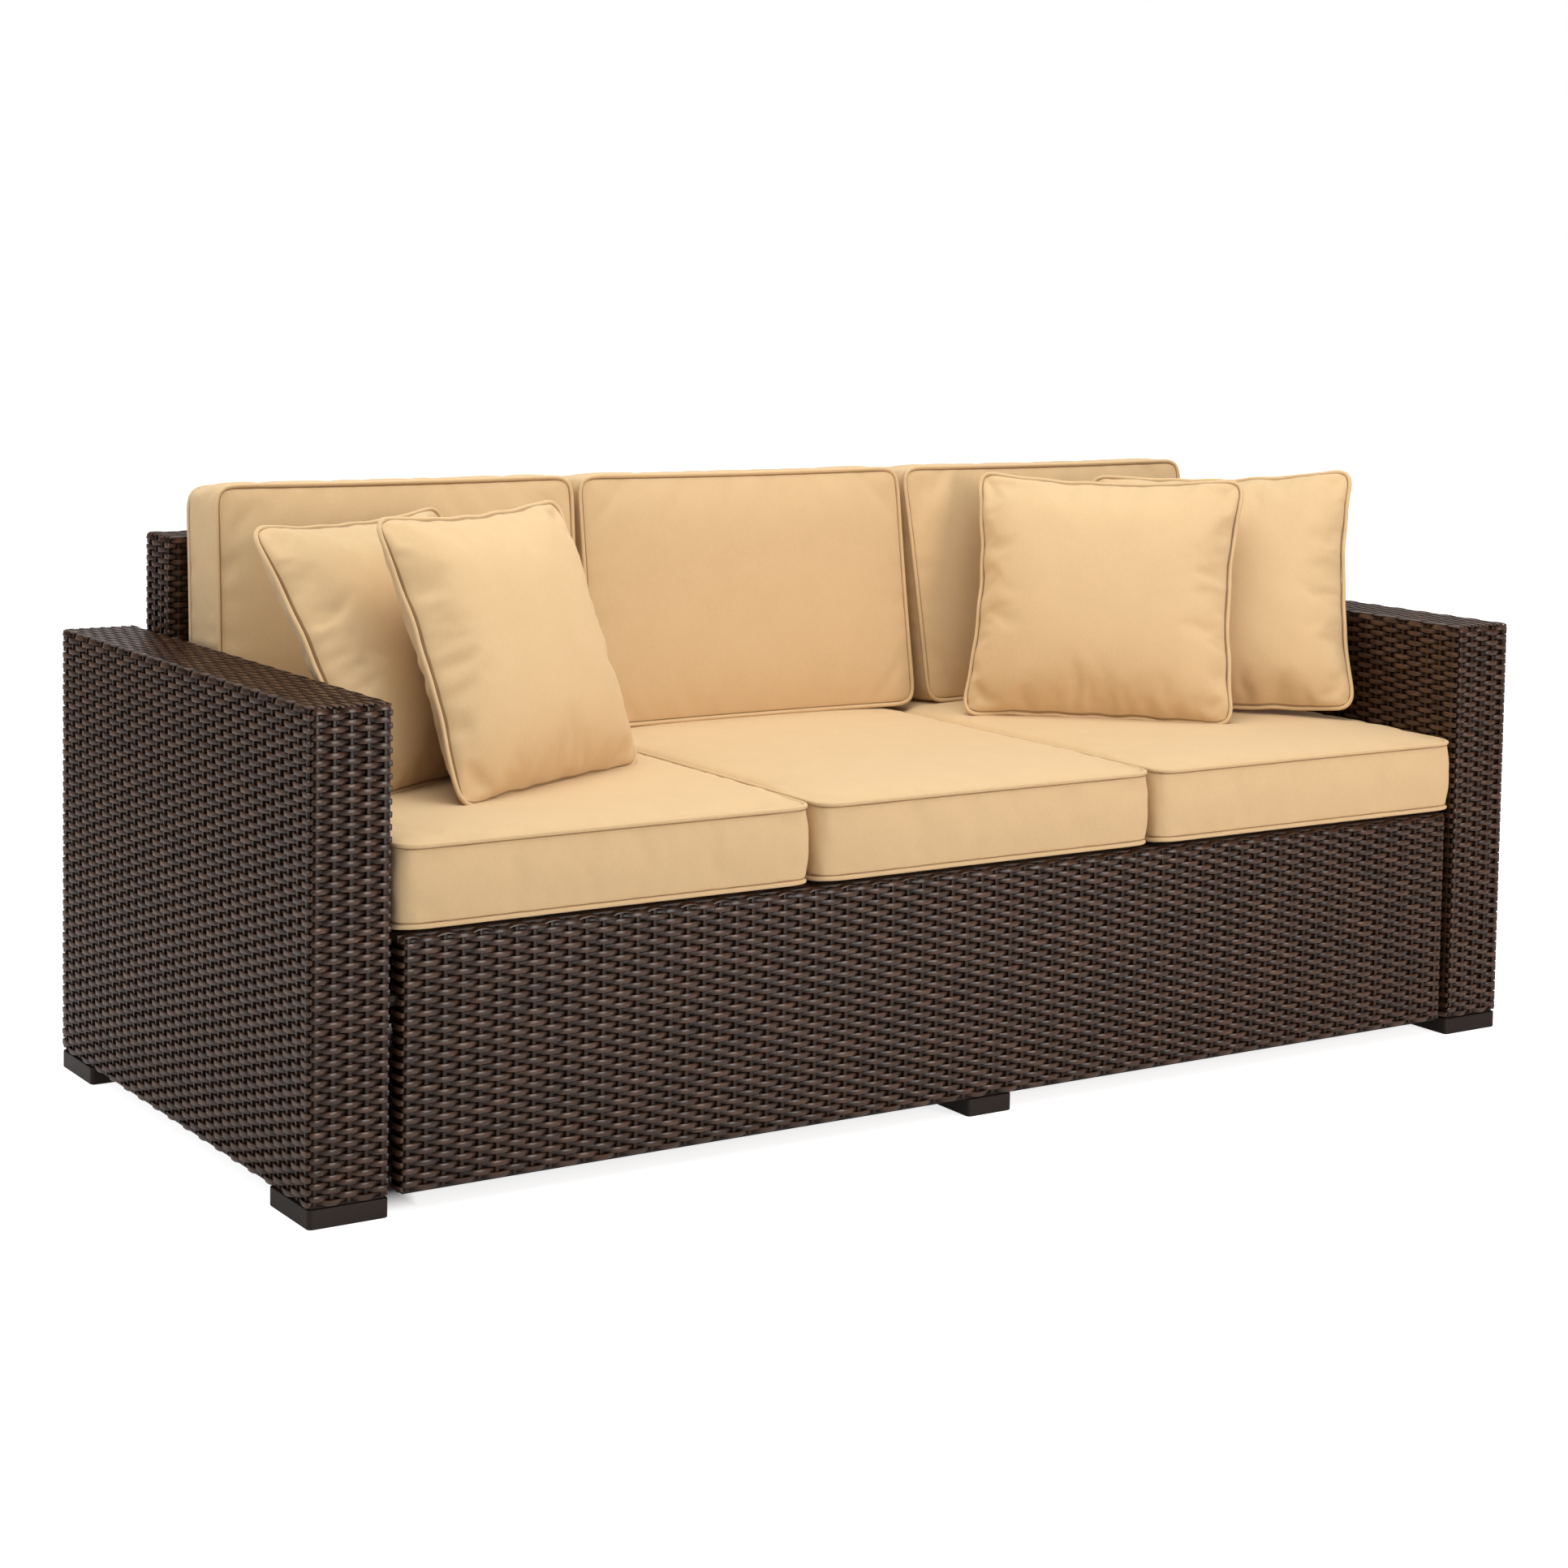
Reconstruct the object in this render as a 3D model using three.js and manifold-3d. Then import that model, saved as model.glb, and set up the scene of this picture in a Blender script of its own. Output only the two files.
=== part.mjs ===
// Garden sofa for three in woven resin wicker over a welded tube frame, with loose cushions.
// Millimetres, +Z up. The origin is on the floor under the middle of the overall box, and the
// sofa faces -Y. Left and right are as seen by someone who stands in front of it, so left is -X.
import * as THREE from 'three';
import Module from 'manifold-3d';
import { mergeVertices } from 'three/addons/utils/BufferGeometryUtils.js';

const wasm = await Module();
wasm.setup();

// Overall sizes of the three woven modules: two arms, the backrest and the seat
const overallLength = 1902;
const armDepth = 820;
const armHeight = 600;
const armWidth = 106;
const backHeight = 728;
const backThickness = 93;
const backInset = 8;
const deckHeight = 327;
const footHeight = 23;
const moduleGap = 9;

// Stock, fits and cuts
const wickerThickness = 9;
const tubeSize = 25;
const tubeWall = 1.5;
const rungThickness = 5;
const joinGap = 0.3;
const cutOverrun = 5;

// Relief of the woven faces: ribs, each of which stands for two strands, with grooves between them
const ribSpacing = 14.8;
const grooveWidth = 5;
const grooveDepth = 3.3;
const grooveFloorShare = 0.7;

// Feet
const footInset = 2.5;
const armFootLength = 113;
const middleFootWidth = 71;
const middleFootLength = 90;
const middleFootX = 18;
const footCorner = 6;
const pegRadius = 5;
const pegHeight = 12;
const pegSpacing = 40;

// Bolts that join the modules, and the bosses that hold them apart
const shankRadius = 3;
const headRadius = 5;
const headHeight = 5;
const boltLength = 70;
const boltHeight = 250;
const bossRadius = 8;

// Cushions: box cushions with a welt on both edges of the boxing strip
const cushionProud = 10;
const cushionGap = 2;
const cushionCorner = 34;
const boxingBulge = 6;
const weltStand = 3;
const weltHeight = 7;
const undersideRoll = 16;
const sideDraw = 4;
const seatLowSeam = 11;
const seatHighSeam = 105;
const seatCrown = 13;
const backLowSeam = 10;
const backHighSeam = 106;
const backCrown = 12;
const backCushionHeight = 369;
const backLeanDegrees = 5;

// The splits between the seat cushions, as shares of the way from the middle to an arm
const leftSplitShare = -0.316;
const rightSplitShare = 0.3325;

// How far a back cushion's upper corners stand to the right of the ends of the seat cushion below,
// as shares of the way to an arm, and its lower corners to the right of those, as shares of its height
const backCushionShares = [
  { name: 'left', topLeft: 0.0355, topRight: -0.0095, footLeft: -0.019, footRight: 0.016 },
  { name: 'middle', topLeft: -0.0047, topRight: 0.0047, footLeft: 0.027, footRight: 0.054 },
  { name: 'right', topLeft: 0.0095, topRight: -0.0059, footLeft: 0.1, footRight: 0 },
];

// Throw pillows: each one's lower edge is so many pillow sides away from its arm and the backrest,
// and the pillow is turned and leans by so many degrees
const pillowSide = 385;
const pillowThickness = 120;
const pillowCorner = 26;
const pillowDraw = 9;
const pillowPlaceShares = [
  { name: 'left_front', side: -1, fromArm: 0.852, fromBack: 1.304, turn: 27, lean: 21.5 },
  { name: 'left_rear', side: -1, fromArm: 0.616, fromBack: 1.073, turn: 28, lean: 28.5 },
  { name: 'right_front', side: 1, fromArm: 1.026, fromBack: 0.997, turn: -45, lean: 19.5 },
  { name: 'right_rear', side: 1, fromArm: 0.508, fromBack: 1.073, turn: -46, lean: 21 },
];

// Shares and counts that give the soft pieces their form
const crownPower = 4;
const crownShares = [0.94, 0.83, 0.67, 0.4];
const drawPower = 4;
const pillowPower = 2.4;
const pillowRingShares = [0.5, 0.8, 0.95];
const cornerSteps = 3;
const sideSteps = 4;
const rungShares = [0.08, 0.36, 0.64, 0.92];
const fastenerSides = 8;
const footCornerSteps = 2;

// Places that follow from the sizes
const [X, Y, Z] = [...'xyz'].keys();
const wickerInset = wickerThickness + joinGap;
const outerX = overallLength / 2;
const innerX = outerX - armWidth;
const moduleX = innerX - moduleGap;
const leftSplitX = leftSplitShare * innerX;
const rightSplitX = rightSplitShare * innerX;
const seatEdges = [-innerX, leftSplitX, rightSplitX, innerX];
const rearY = (armDepth + cushionProud) / 2;
const frontY = rearY - armDepth;
const proudY = frontY - cushionProud;
const backRearY = rearY - backInset;
const backFrontY = backRearY - backThickness;
const railTop = deckHeight - wickerInset;
const frameBottom = footHeight + joinGap;
const frameFrontY = frontY + wickerInset;
const postX = moduleX - wickerInset - tubeSize / 2;

const around = (middle, size) => [middle - size / 2, middle + size / 2];
const from = (low, size) => [low, low + size];
const upTo = (high, size) => [high - size, high];
const mirrored = (side, [low, high]) => (side > 0 ? [low, high] : [-high, -low]);
const sides = [{ name: 'left', side: -1 }, { name: 'right', side: 1 }];

const sofa = new THREE.Group();
const finishes = {
  wicker: { color: 0x35241a, roughness: 0.5, metalness: 0 },
  coatedSteel: { color: 0x2b211c, roughness: 0.45, metalness: 0.4 },
  foot: { color: 0x3a2a22, roughness: 0.55, metalness: 0 },
  fabric: { color: 0xd8b583, roughness: 0.9, metalness: 0 },
  zincSteel: { color: 0xb4b6b8, roughness: 0.35, metalness: 0.9 },
};

// Turns a closed geometry into a solid that can be cut and joined
function solidOf(geometry) {
  geometry.deleteAttribute('normal');
  geometry.deleteAttribute('uv');
  const welded = mergeVertices(geometry);
  const corners = [];
  for (let start = 0; start < welded.index.count; start += 3) {
    const [a, b, c] = welded.index.array.slice(start, start + 3);
    if (a !== b && b !== c && c !== a) corners.push(a, b, c);
  }
  return new wasm.Manifold(new wasm.Mesh({
    numProp: 3,
    vertProperties: new Float32Array(welded.attributes.position.array),
    triVerts: new Uint32Array(corners),
  }));
}

function geometryOf(solid) {
  const mesh = solid.getMesh();
  const geometry = new THREE.BufferGeometry();
  geometry.setAttribute('position', new THREE.BufferAttribute(mesh.vertProperties, 3));
  geometry.setIndex(new THREE.BufferAttribute(mesh.triVerts, 1));
  return geometry;
}

// Adds a named piece with its mesh centred on the piece itself
function addPiece(name, finish, geometry) {
  geometry.computeBoundingBox();
  const middle = geometry.boundingBox.getCenter(new THREE.Vector3());
  geometry.translate(-middle.x, -middle.y, -middle.z);
  geometry.computeVertexNormals();
  const mesh = new THREE.Mesh(geometry, new THREE.MeshStandardMaterial(finishes[finish]));
  mesh.name = name;
  mesh.position.copy(middle);
  sofa.add(mesh);
}

function block(x, y, z) {
  const geometry = new THREE.BoxGeometry(x[1] - x[0], y[1] - y[0], z[1] - z[0]);
  return geometry.translate((x[0] + x[1]) / 2, (y[0] + y[1]) / 2, (z[0] + z[1]) / 2);
}

// A panel whose outer face is woven. Its strands run one way and lie side by side across the other.
function wovenPanel(axis, facing, strandWay, spans) {
  const stackWay = X + Y + Z - axis - strandWay;
  const [low, high] = spans[stackWay];
  const [back, face] = facing > 0 ? spans[axis] : [...spans[axis]].reverse();
  const floor = face - facing * grooveDepth;
  const ribs = Math.round((high - low) / ribSpacing);
  const profile = [[low, back], [low, face]];
  for (let rib = 1; rib < ribs; rib += 1) {
    const middle = THREE.MathUtils.lerp(low, high, rib / ribs);
    const [rimStart, rimEnd] = around(middle, grooveWidth);
    const [floorStart, floorEnd] = around(middle, grooveWidth * grooveFloorShare);
    profile.push([rimStart, face], [floorStart, floor], [floorEnd, floor], [rimEnd, face]);
  }
  profile.push([high, face], [high, back]);
  const shape = new THREE.Shape(profile.map((point) => new THREE.Vector2(...point)));
  const [near, far] = spans[strandWay];
  const geometry = new THREE.ExtrudeGeometry(shape, { depth: far - near, bevelEnabled: false });
  const unit = (way, size = 1) => new THREE.Vector3().setComponent(way, size);
  // Drawn from whichever end keeps the faces outwards
  const ahead = Math.sign(unit(stackWay).cross(unit(axis)).getComponent(strandWay));
  geometry.applyMatrix4(new THREE.Matrix4().makeBasis(unit(stackWay), unit(axis), unit(strandWay, ahead)));
  const start = unit(strandWay, ahead > 0 ? near : far);
  return solidOf(geometry.translate(start.x, start.y, start.z));
}

// A square tube, open at both ends, that runs along one axis
function tube(along, spans) {
  const bore = spans.map(([low, high], axis) => {
    if (axis === along) return [low - cutOverrun, high + cutOverrun];
    return [low + tubeWall, high - tubeWall];
  });
  return solidOf(block(...spans)).subtract(solidOf(block(...bore)));
}

// Two parallel tubes joined by welded flat rungs
function ladder(along, across, spans) {
  const rail = (pick) => tube(along, spans.map((span, axis) => (axis === across ? pick(span) : span)));
  let solid = rail(([low]) => from(low, tubeSize)).add(rail(([, high]) => upTo(high, tubeSize)));
  const reach = tubeSize - tubeWall / 2;
  for (const share of rungShares) {
    const middle = THREE.MathUtils.lerp(...spans[along], share);
    const rung = spans.map(([low, high], axis) => {
      if (axis === along) return around(middle, rungThickness);
      if (axis === across) return [low + reach, high - reach];
      return [low, high];
    });
    solid = solid.add(solidOf(block(...rung)));
  }
  return solid;
}

// Bolts: each one starts under its head and points along its shank
const frontBoltY = frameFrontY + tubeSize / 2;
const rearBoltY = (rearY - wickerInset - tubeSize + backRearY - wickerInset) / 2;
const seatBoltY = backFrontY - 2 * joinGap - tubeSize;
const boltPlaces = [];
const bossPlaces = [];
for (const { name, side } of sides) {
  const toward = new THREE.Vector3(side, 0, 0);
  const ends = { front: frontBoltY, rear: rearBoltY };
  for (const [end, y] of Object.entries(ends)) {
    const head = new THREE.Vector3(side * (postX - tubeSize / 2 - joinGap), y, boltHeight);
    boltPlaces.push({ name: `bolt_arm_${name}_${end}`, at: head, toward });
    const boss = new THREE.Vector3(side * postX, y, boltHeight);
    bossPlaces.push({ side, end, at: boss, toward });
  }
  const at = new THREE.Vector3(side * postX, seatBoltY, railTop - tubeSize / 2);
  boltPlaces.push({ name: `bolt_seat_${name}`, at, toward: new THREE.Vector3(0, 1, 0) });
}

// Feet push into the lowest tubes of the frames on round pegs
const upward = new THREE.Vector3(0, 0, 1);
const frontFootY = frontY + footInset + armFootLength / 2;
const rearFootY = rearY - footInset - armFootLength / 2;
const rearRailY = backRearY - wickerInset - tubeSize / 2;
const armTubeX = [innerX + wickerInset + tubeSize / 2, outerX - wickerInset - tubeSize / 2];
const pegSpots = [];
for (const { side } of sides) {
  for (const x of armTubeX) pegSpots.push([side * x, frontFootY], [side * x, rearFootY]);
  const x = middleFootX + side * pegSpacing / 2;
  pegSpots.push([x, frontBoltY], [x, rearRailY]);
}
const pegPlaces = pegSpots.map(([x, y]) => ({ at: new THREE.Vector3(x, y, footHeight), toward: upward }));

// Turns a shape made along +Y to point along a fastener
function aimed(geometry, { at, toward }) {
  const turn = new THREE.Quaternion().setFromUnitVectors(new THREE.Vector3(0, 1, 0), toward);
  return geometry.applyQuaternion(turn).translate(at.x, at.y, at.z);
}

function rod(radius, low, high) {
  const geometry = new THREE.CylinderGeometry(radius, radius, high - low, fastenerSides);
  return geometry.translate(0, (low + high) / 2, 0);
}

function headedRod(length) {
  const profile = [
    [0, -headHeight], [headRadius, -headHeight], [headRadius, 0],
    [shankRadius, 0], [shankRadius, length], [0, length],
  ];
  return new THREE.LatheGeometry(profile.map((point) => new THREE.Vector2(...point)), fastenerSides);
}

const drills = boltPlaces.map((place) => (
  solidOf(aimed(rod(shankRadius + joinGap, -cutOverrun, boltLength + joinGap), place))));
const pegHoles = pegPlaces.map((place) => (
  solidOf(aimed(rod(pegRadius + joinGap, -cutOverrun, pegHeight + joinGap), place))));
const bossLength = innerX - joinGap - postX;
const bossHoles = bossPlaces.map((place) => (
  solidOf(aimed(rod(bossRadius + joinGap, 0, bossLength), place))));

const meets = (one, other) => [X, Y, Z].every((axis) => (
  one.min[axis] < other.max[axis] && one.max[axis] > other.min[axis]));

// Adds a rigid piece, cut by each hole that crosses its box
function addCut(name, finish, solid, cuts) {
  const box = solid.boundingBox();
  let result = solid;
  for (const hole of cuts) {
    if (meets(box, hole.boundingBox())) result = result.subtract(hole);
  }
  addPiece(name, finish, geometryOf(result));
}

// A post of the seat or the backrest with its boss, which bears on the arm next to it
function withBoss(post, side, end) {
  const place = bossPlaces.find((boss) => boss.side === side && boss.end === end);
  return post.add(solidOf(aimed(rod(bossRadius, tubeSize / 2 - tubeWall / 2, bossLength), place)));
}

const frameHoles = [...drills, ...pegHoles];
const addPanel = (name, ...spans) => addCut(name, 'wicker', solidOf(block(...spans)), drills);
const addWoven = (name, axis, facing, strandWay, ...spans) => (
  addCut(name, 'wicker', wovenPanel(axis, facing, strandWay, spans), drills));
const addTube = (name, along, ...spans) => addCut(name, 'coatedSteel', tube(along, spans), frameHoles);
const addLadder = (name, along, across, ...spans) => (
  addCut(name, 'coatedSteel', ladder(along, across, spans), frameHoles));

// An arm: five woven panels round a box frame of four welded ladders
function addArm({ name, side }) {
  const width = mirrored(side, [innerX, outerX]);
  const outer = mirrored(side, upTo(outerX, wickerThickness));
  const inner = mirrored(side, from(innerX, wickerThickness));
  const panelTop = armHeight - wickerInset;
  const depth = [frameFrontY, rearY - wickerInset];
  const height = [frameBottom, panelTop];
  addWoven(`arm_${name}_wicker_outer`, X, side, Y, outer, depth, height);
  addPanel(`arm_${name}_wicker_inner`, inner, depth, height);
  addWoven(`arm_${name}_wicker_front`, Y, -1, X, width, from(frontY, wickerThickness), height);
  addWoven(`arm_${name}_wicker_rear`, Y, 1, X, width, upTo(rearY, wickerThickness), height);
  addWoven(`arm_${name}_wicker_top`, Z, 1, Y, width, [frontY, rearY], upTo(armHeight, wickerThickness));

  const frameWidth = mirrored(side, [innerX + wickerInset, outerX - wickerInset]);
  const frameTop = panelTop - joinGap;
  const frontDepth = from(depth[0], tubeSize);
  const rearDepth = upTo(depth[1], tubeSize);
  const between = [frontDepth[1] + joinGap, rearDepth[0] - joinGap];
  addLadder(`arm_${name}_frame_front`, Z, X, frameWidth, frontDepth, [frameBottom, frameTop]);
  addLadder(`arm_${name}_frame_rear`, Z, X, frameWidth, rearDepth, [frameBottom, frameTop]);
  addLadder(`arm_${name}_frame_top`, Y, X, frameWidth, between, upTo(frameTop, tubeSize));
  addLadder(`arm_${name}_frame_bottom`, Y, X, frameWidth, between, from(frameBottom, tubeSize));
}

// A woven panel in the long side of a module that wraps round both of the module's ends
function wrappedPanel(facing, faceDepth, wrapDepth, faceHeight, wrapHeight) {
  let solid = wovenPanel(Y, facing, X, [[-moduleX, moduleX], faceDepth, faceHeight]);
  for (const { side } of sides) {
    const wrap = mirrored(side, upTo(moduleX, wickerThickness));
    solid = solid.add(solidOf(block(wrap, wrapDepth, wrapHeight)));
  }
  return solid;
}

// The backrest stands between the arms and reaches down to the rear middle foot
function addBackrest() {
  const panelTop = backHeight - wickerInset;
  const length = [-moduleX, moduleX];
  const inside = [backFrontY + wickerInset, backRearY - wickerInset];
  const rearFace = upTo(backRearY, wickerThickness);
  const rearWrap = [inside[0], backRearY - wickerThickness / 2];
  const height = [frameBottom, panelTop];
  const frontSkirt = railTop - tubeSize;
  addPanel('back_wicker_front', length, from(backFrontY, wickerThickness), [frontSkirt, panelTop]);
  addWoven('back_wicker_top', Z, 1, X, length, [backFrontY, backRearY], upTo(backHeight, wickerThickness));
  const rear = wrappedPanel(1, rearFace, rearWrap, height, height);
  addCut('back_wicker_rear', 'wicker', rear, [...drills, ...bossHoles]);

  const frameTop = panelTop - joinGap;
  const topRail = upTo(frameTop, tubeSize);
  const postTop = topRail[0] - joinGap;
  for (const { name, side } of sides) {
    const post = ladder(Z, Y, [around(side * postX, tubeSize), inside, [frameBottom, postTop]]);
    addCut(`back_post_${name}`, 'coatedSteel', withBoss(post, side, 'rear'), frameHoles);
  }
  const reach = postX + tubeSize / 2;
  const clear = postX - tubeSize / 2 - joinGap;
  const lowRail = from(frameBottom, tubeSize);
  addLadder('back_top_rails', X, Y, [-reach, reach], inside, topRail);
  addTube('back_bottom_rail', X, [-clear, clear], around(rearRailY, tubeSize), lowRail);
  const middlePost = [lowRail[1] + joinGap, postTop];
  addLadder('back_post_middle', Z, Y, around(0, tubeSize), inside, middlePost);
}

// The seat: a rail frame under a woven deck, with posts and a low rail behind the woven apron
function addSeat() {
  const postDepth = from(frameFrontY, tubeSize);
  const railHeight = upTo(railTop, tubeSize);
  const lowRail = from(frameBottom, tubeSize);
  const clear = postX - tubeSize / 2 - joinGap;
  const rearRail = upTo(backFrontY - joinGap, tubeSize);
  const between = [postDepth[1] + joinGap, rearRail[0] - joinGap];
  const deckDepth = [frameFrontY, backFrontY - joinGap];
  const apronFace = from(frontY, wickerThickness);
  const apronWrap = [frontY + wickerThickness / 2, postDepth[1]];
  const [apronHeight, wrapHeight] = [[frameBottom, deckHeight], [frameBottom, railTop]];
  const apron = wrappedPanel(-1, apronFace, apronWrap, apronHeight, wrapHeight);
  addCut('apron_wicker', 'wicker', apron, [...drills, ...bossHoles]);
  addPanel('seat_deck_weave', [-moduleX, moduleX], deckDepth, upTo(deckHeight, wickerThickness));
  addTube('seat_front_rail', X, [-clear, clear], postDepth, railHeight);
  addTube('seat_rear_rail', X, [-moduleX, moduleX], rearRail, railHeight);
  addTube('apron_bottom_rail', X, [-clear, clear], postDepth, lowRail);
  const midHeight = [lowRail[1] + joinGap, railHeight[0] - joinGap];
  addTube('apron_post_middle', Z, around(middleFootX, tubeSize), postDepth, midHeight);
  const bearerX = { left: leftSplitX, right: rightSplitX };
  for (const { name, side } of sides) {
    const width = around(side * postX, tubeSize);
    const post = tube(Z, [width, postDepth, [frameBottom, railTop]]);
    addCut(`apron_post_${name}`, 'coatedSteel', withBoss(post, side, 'front'), frameHoles);
    addTube(`seat_side_rail_${name}`, Y, width, between, railHeight);
    addTube(`seat_bearer_${name}`, Y, around(bearerX[name], tubeSize), between, railHeight);
  }
}

// A foot: a block with rounded upright edges and two pegs on its top
function addFoot(name, x, y) {
  const [halfX, halfY] = [(x[1] - x[0]) / 2, (y[1] - y[0]) / 2];
  const shape = new THREE.Shape();
  const corners = [[1, 1], [-1, 1], [-1, -1], [1, -1]];
  corners.forEach(([signX, signY], quarter) => {
    const start = quarter * Math.PI / 2;
    const [middleX, middleY] = [signX * (halfX - footCorner), signY * (halfY - footCorner)];
    shape.absarc(middleX, middleY, footCorner, start, start + Math.PI / 2);
  });
  const options = { depth: footHeight, bevelEnabled: false, curveSegments: footCornerSteps };
  const geometry = new THREE.ExtrudeGeometry(shape, options);
  geometry.translate(x[0] + halfX, y[0] + halfY, 0);
  let solid = solidOf(geometry);
  for (const place of pegPlaces) {
    const peg = solidOf(aimed(rod(pegRadius, -cutOverrun, pegHeight), place));
    if (meets(solid.boundingBox(), peg.boundingBox())) solid = solid.add(peg);
  }
  addPiece(name, 'foot', geometryOf(solid));
}

function addFeet() {
  for (const { name, side } of sides) {
    const width = mirrored(side, [innerX + footInset, outerX - footInset]);
    addFoot(`foot_${name}_front`, width, around(frontFootY, armFootLength));
    addFoot(`foot_${name}_rear`, width, around(rearFootY, armFootLength));
  }
  const width = around(middleFootX, middleFootWidth);
  addFoot('foot_middle_front', width, from(frontY + footInset, middleFootLength));
  addFoot('foot_middle_rear', width, upTo(backRearY - footInset, middleFootLength));
}

function addBolts() {
  for (const place of boltPlaces) {
    const geometry = geometryOf(solidOf(headedRod(boltLength)));
    addPiece(place.name, 'zincSteel', aimed(geometry, place));
  }
}

// The outline of a cushion: a rounded rectangle whose sides are drawn in between its corners
function outline(halfX, halfY, radius, draw) {
  const points = [];
  const corners = [[1, 1], [-1, 1], [-1, -1], [1, -1]];
  const arcs = corners.map(([signX, signY], quarter) => {
    const arc = [];
    for (let step = 0; step <= cornerSteps; step += 1) {
      const angle = (quarter + step / cornerSteps) * Math.PI / 2;
      const x = signX * (halfX - radius) + radius * Math.cos(angle);
      arc.push([x, signY * (halfY - radius) + radius * Math.sin(angle)]);
    }
    return arc;
  });
  arcs.forEach((arc, quarter) => {
    const [startX, startY] = arc[cornerSteps];
    const [endX, endY] = arcs[(quarter + 1) % arcs.length][0];
    points.push(...arc);
    for (let step = 1; step < sideSteps; step += 1) {
      const share = step / sideSteps;
      points.push([startX + (endX - startX) * share, startY + (endY - startY) * share]);
    }
  });
  return points.map(([x, y]) => {
    const [u, v] = [x / halfX, y / halfY];
    const pullX = Math.sign(x) * draw * (1 - v * v) * u ** drawPower;
    const pullY = Math.sign(y) * draw * (1 - u * u) * v ** drawPower;
    return [x - pullX, y - pullY];
  });
}

// A closed skin over a stack of rings, with a point in the middle of the first and the last
function skinOver(rings, start, end) {
  const count = rings[0].length;
  const points = [start, ...rings.flat(), end];
  const faces = [];
  const at = (ring, step) => 1 + ring * count + (step % count);
  for (let step = 0; step < count; step += 1) {
    faces.push(0, at(0, step + 1), at(0, step));
    for (let ring = 0; ring + 1 < rings.length; ring += 1) {
      faces.push(at(ring, step), at(ring, step + 1), at(ring + 1, step + 1));
      faces.push(at(ring, step), at(ring + 1, step + 1), at(ring + 1, step));
    }
    faces.push(points.length - 1, at(rings.length - 1, step), at(rings.length - 1, step + 1));
  }
  const geometry = new THREE.BufferGeometry();
  geometry.setAttribute('position', new THREE.Float32BufferAttribute(points.flat(), 3));
  return geometry.setIndex(faces);
}

const fallOff = (share) => Math.max(0, 1 - Math.abs(share) ** crownPower);
const crownAt = (u, v) => fallOff(u) * fallOff(v);

// A box cushion lying on its flat underside, with its seams at two heights and a crowned top
function boxCushion(fullX, fullY, lowSeam, highSeam, crown) {
  const [halfX, halfY] = [fullX / 2 - boxingBulge, fullY / 2 - boxingBulge];
  const band = (grow, height) => {
    const points = outline(halfX + grow, halfY + grow, cushionCorner + grow, sideDraw);
    return points.map(([x, y]) => [x, y, height]);
  };
  const rings = [
    band(-undersideRoll, 0),
    band(weltStand, lowSeam),
    band(0, lowSeam + weltHeight),
    band(boxingBulge, (lowSeam + highSeam) / 2),
    band(0, highSeam - weltHeight),
    band(weltStand, highSeam),
  ];
  for (const share of crownShares) {
    rings.push(band(0, highSeam).map(([x, y, z]) => {
      const [u, v] = [share * x / halfX, share * y / halfY];
      return [share * x, share * y, z + crown * crownAt(u, v)];
    }));
  }
  return skinOver(rings, [0, 0, 0], [0, 0, highSeam + crown]);
}

function throwPillow() {
  const half = pillowSide / 2;
  const edge = outline(half, half, pillowCorner, pillowDraw);
  const face = (share, sign) => edge.map(([x, y]) => {
    const [u, v] = [share * x / half, share * y / half];
    const swell = (1 - Math.abs(u) ** pillowPower) * (1 - Math.abs(v) ** pillowPower);
    return [share * x, half + share * y, sign * Math.sqrt(swell) * pillowThickness / 2];
  });
  const rings = [
    ...pillowRingShares.map((share) => face(share, -1)),
    edge.map(([x, y]) => [x, half + y, 0]),
    ...pillowRingShares.map((share) => face(share, 1)).reverse(),
  ];
  return skinOver(rings, [0, half, -pillowThickness / 2], [0, half, pillowThickness / 2]);
}

// Where the seat cushions lie, and how high their tops are at any place
const seatRearY = backFrontY - joinGap;
const seatPlaces = ['left', 'middle', 'right'].map((name, place) => {
  const low = seatEdges[place] + cushionGap / 2;
  const high = seatEdges[place + 1] - cushionGap / 2;
  return { name, x: (low + high) / 2, width: high - low };
});
const seatY = (proudY + seatRearY) / 2;
const seatFloor = deckHeight + joinGap;

function seatTop(x, y) {
  const place = seatPlaces[x < leftSplitX ? 0 : 1 + (x > rightSplitX)];
  const u = (x - place.x) / (place.width / 2 - boxingBulge);
  const v = (y - seatY) / ((seatRearY - proudY) / 2 - boxingBulge);
  return seatFloor + seatHighSeam + seatCrown * crownAt(u, v);
}

// Lowers or lifts a soft piece until it just stands on the seat cushions
function settle(geometry) {
  const { position } = geometry.attributes;
  let drop = Infinity;
  for (let i = 0; i < position.count; i += 1) {
    drop = Math.min(drop, position.getZ(i) - seatTop(position.getX(i), position.getY(i)));
  }
  return geometry.translate(0, 0, joinGap - drop);
}

function addSeatCushions() {
  for (const { name, x, width } of seatPlaces) {
    const geometry = boxCushion(width, seatRearY - proudY, seatLowSeam, seatHighSeam, seatCrown);
    geometry.translate(x, seatY, seatFloor);
    geometry.computeBoundingBox();
    geometry.translate(0, proudY - geometry.boundingBox.min.y, 0);
    addPiece(`seat_cushion_${name}`, 'fabric', geometry);
  }
}

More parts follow.
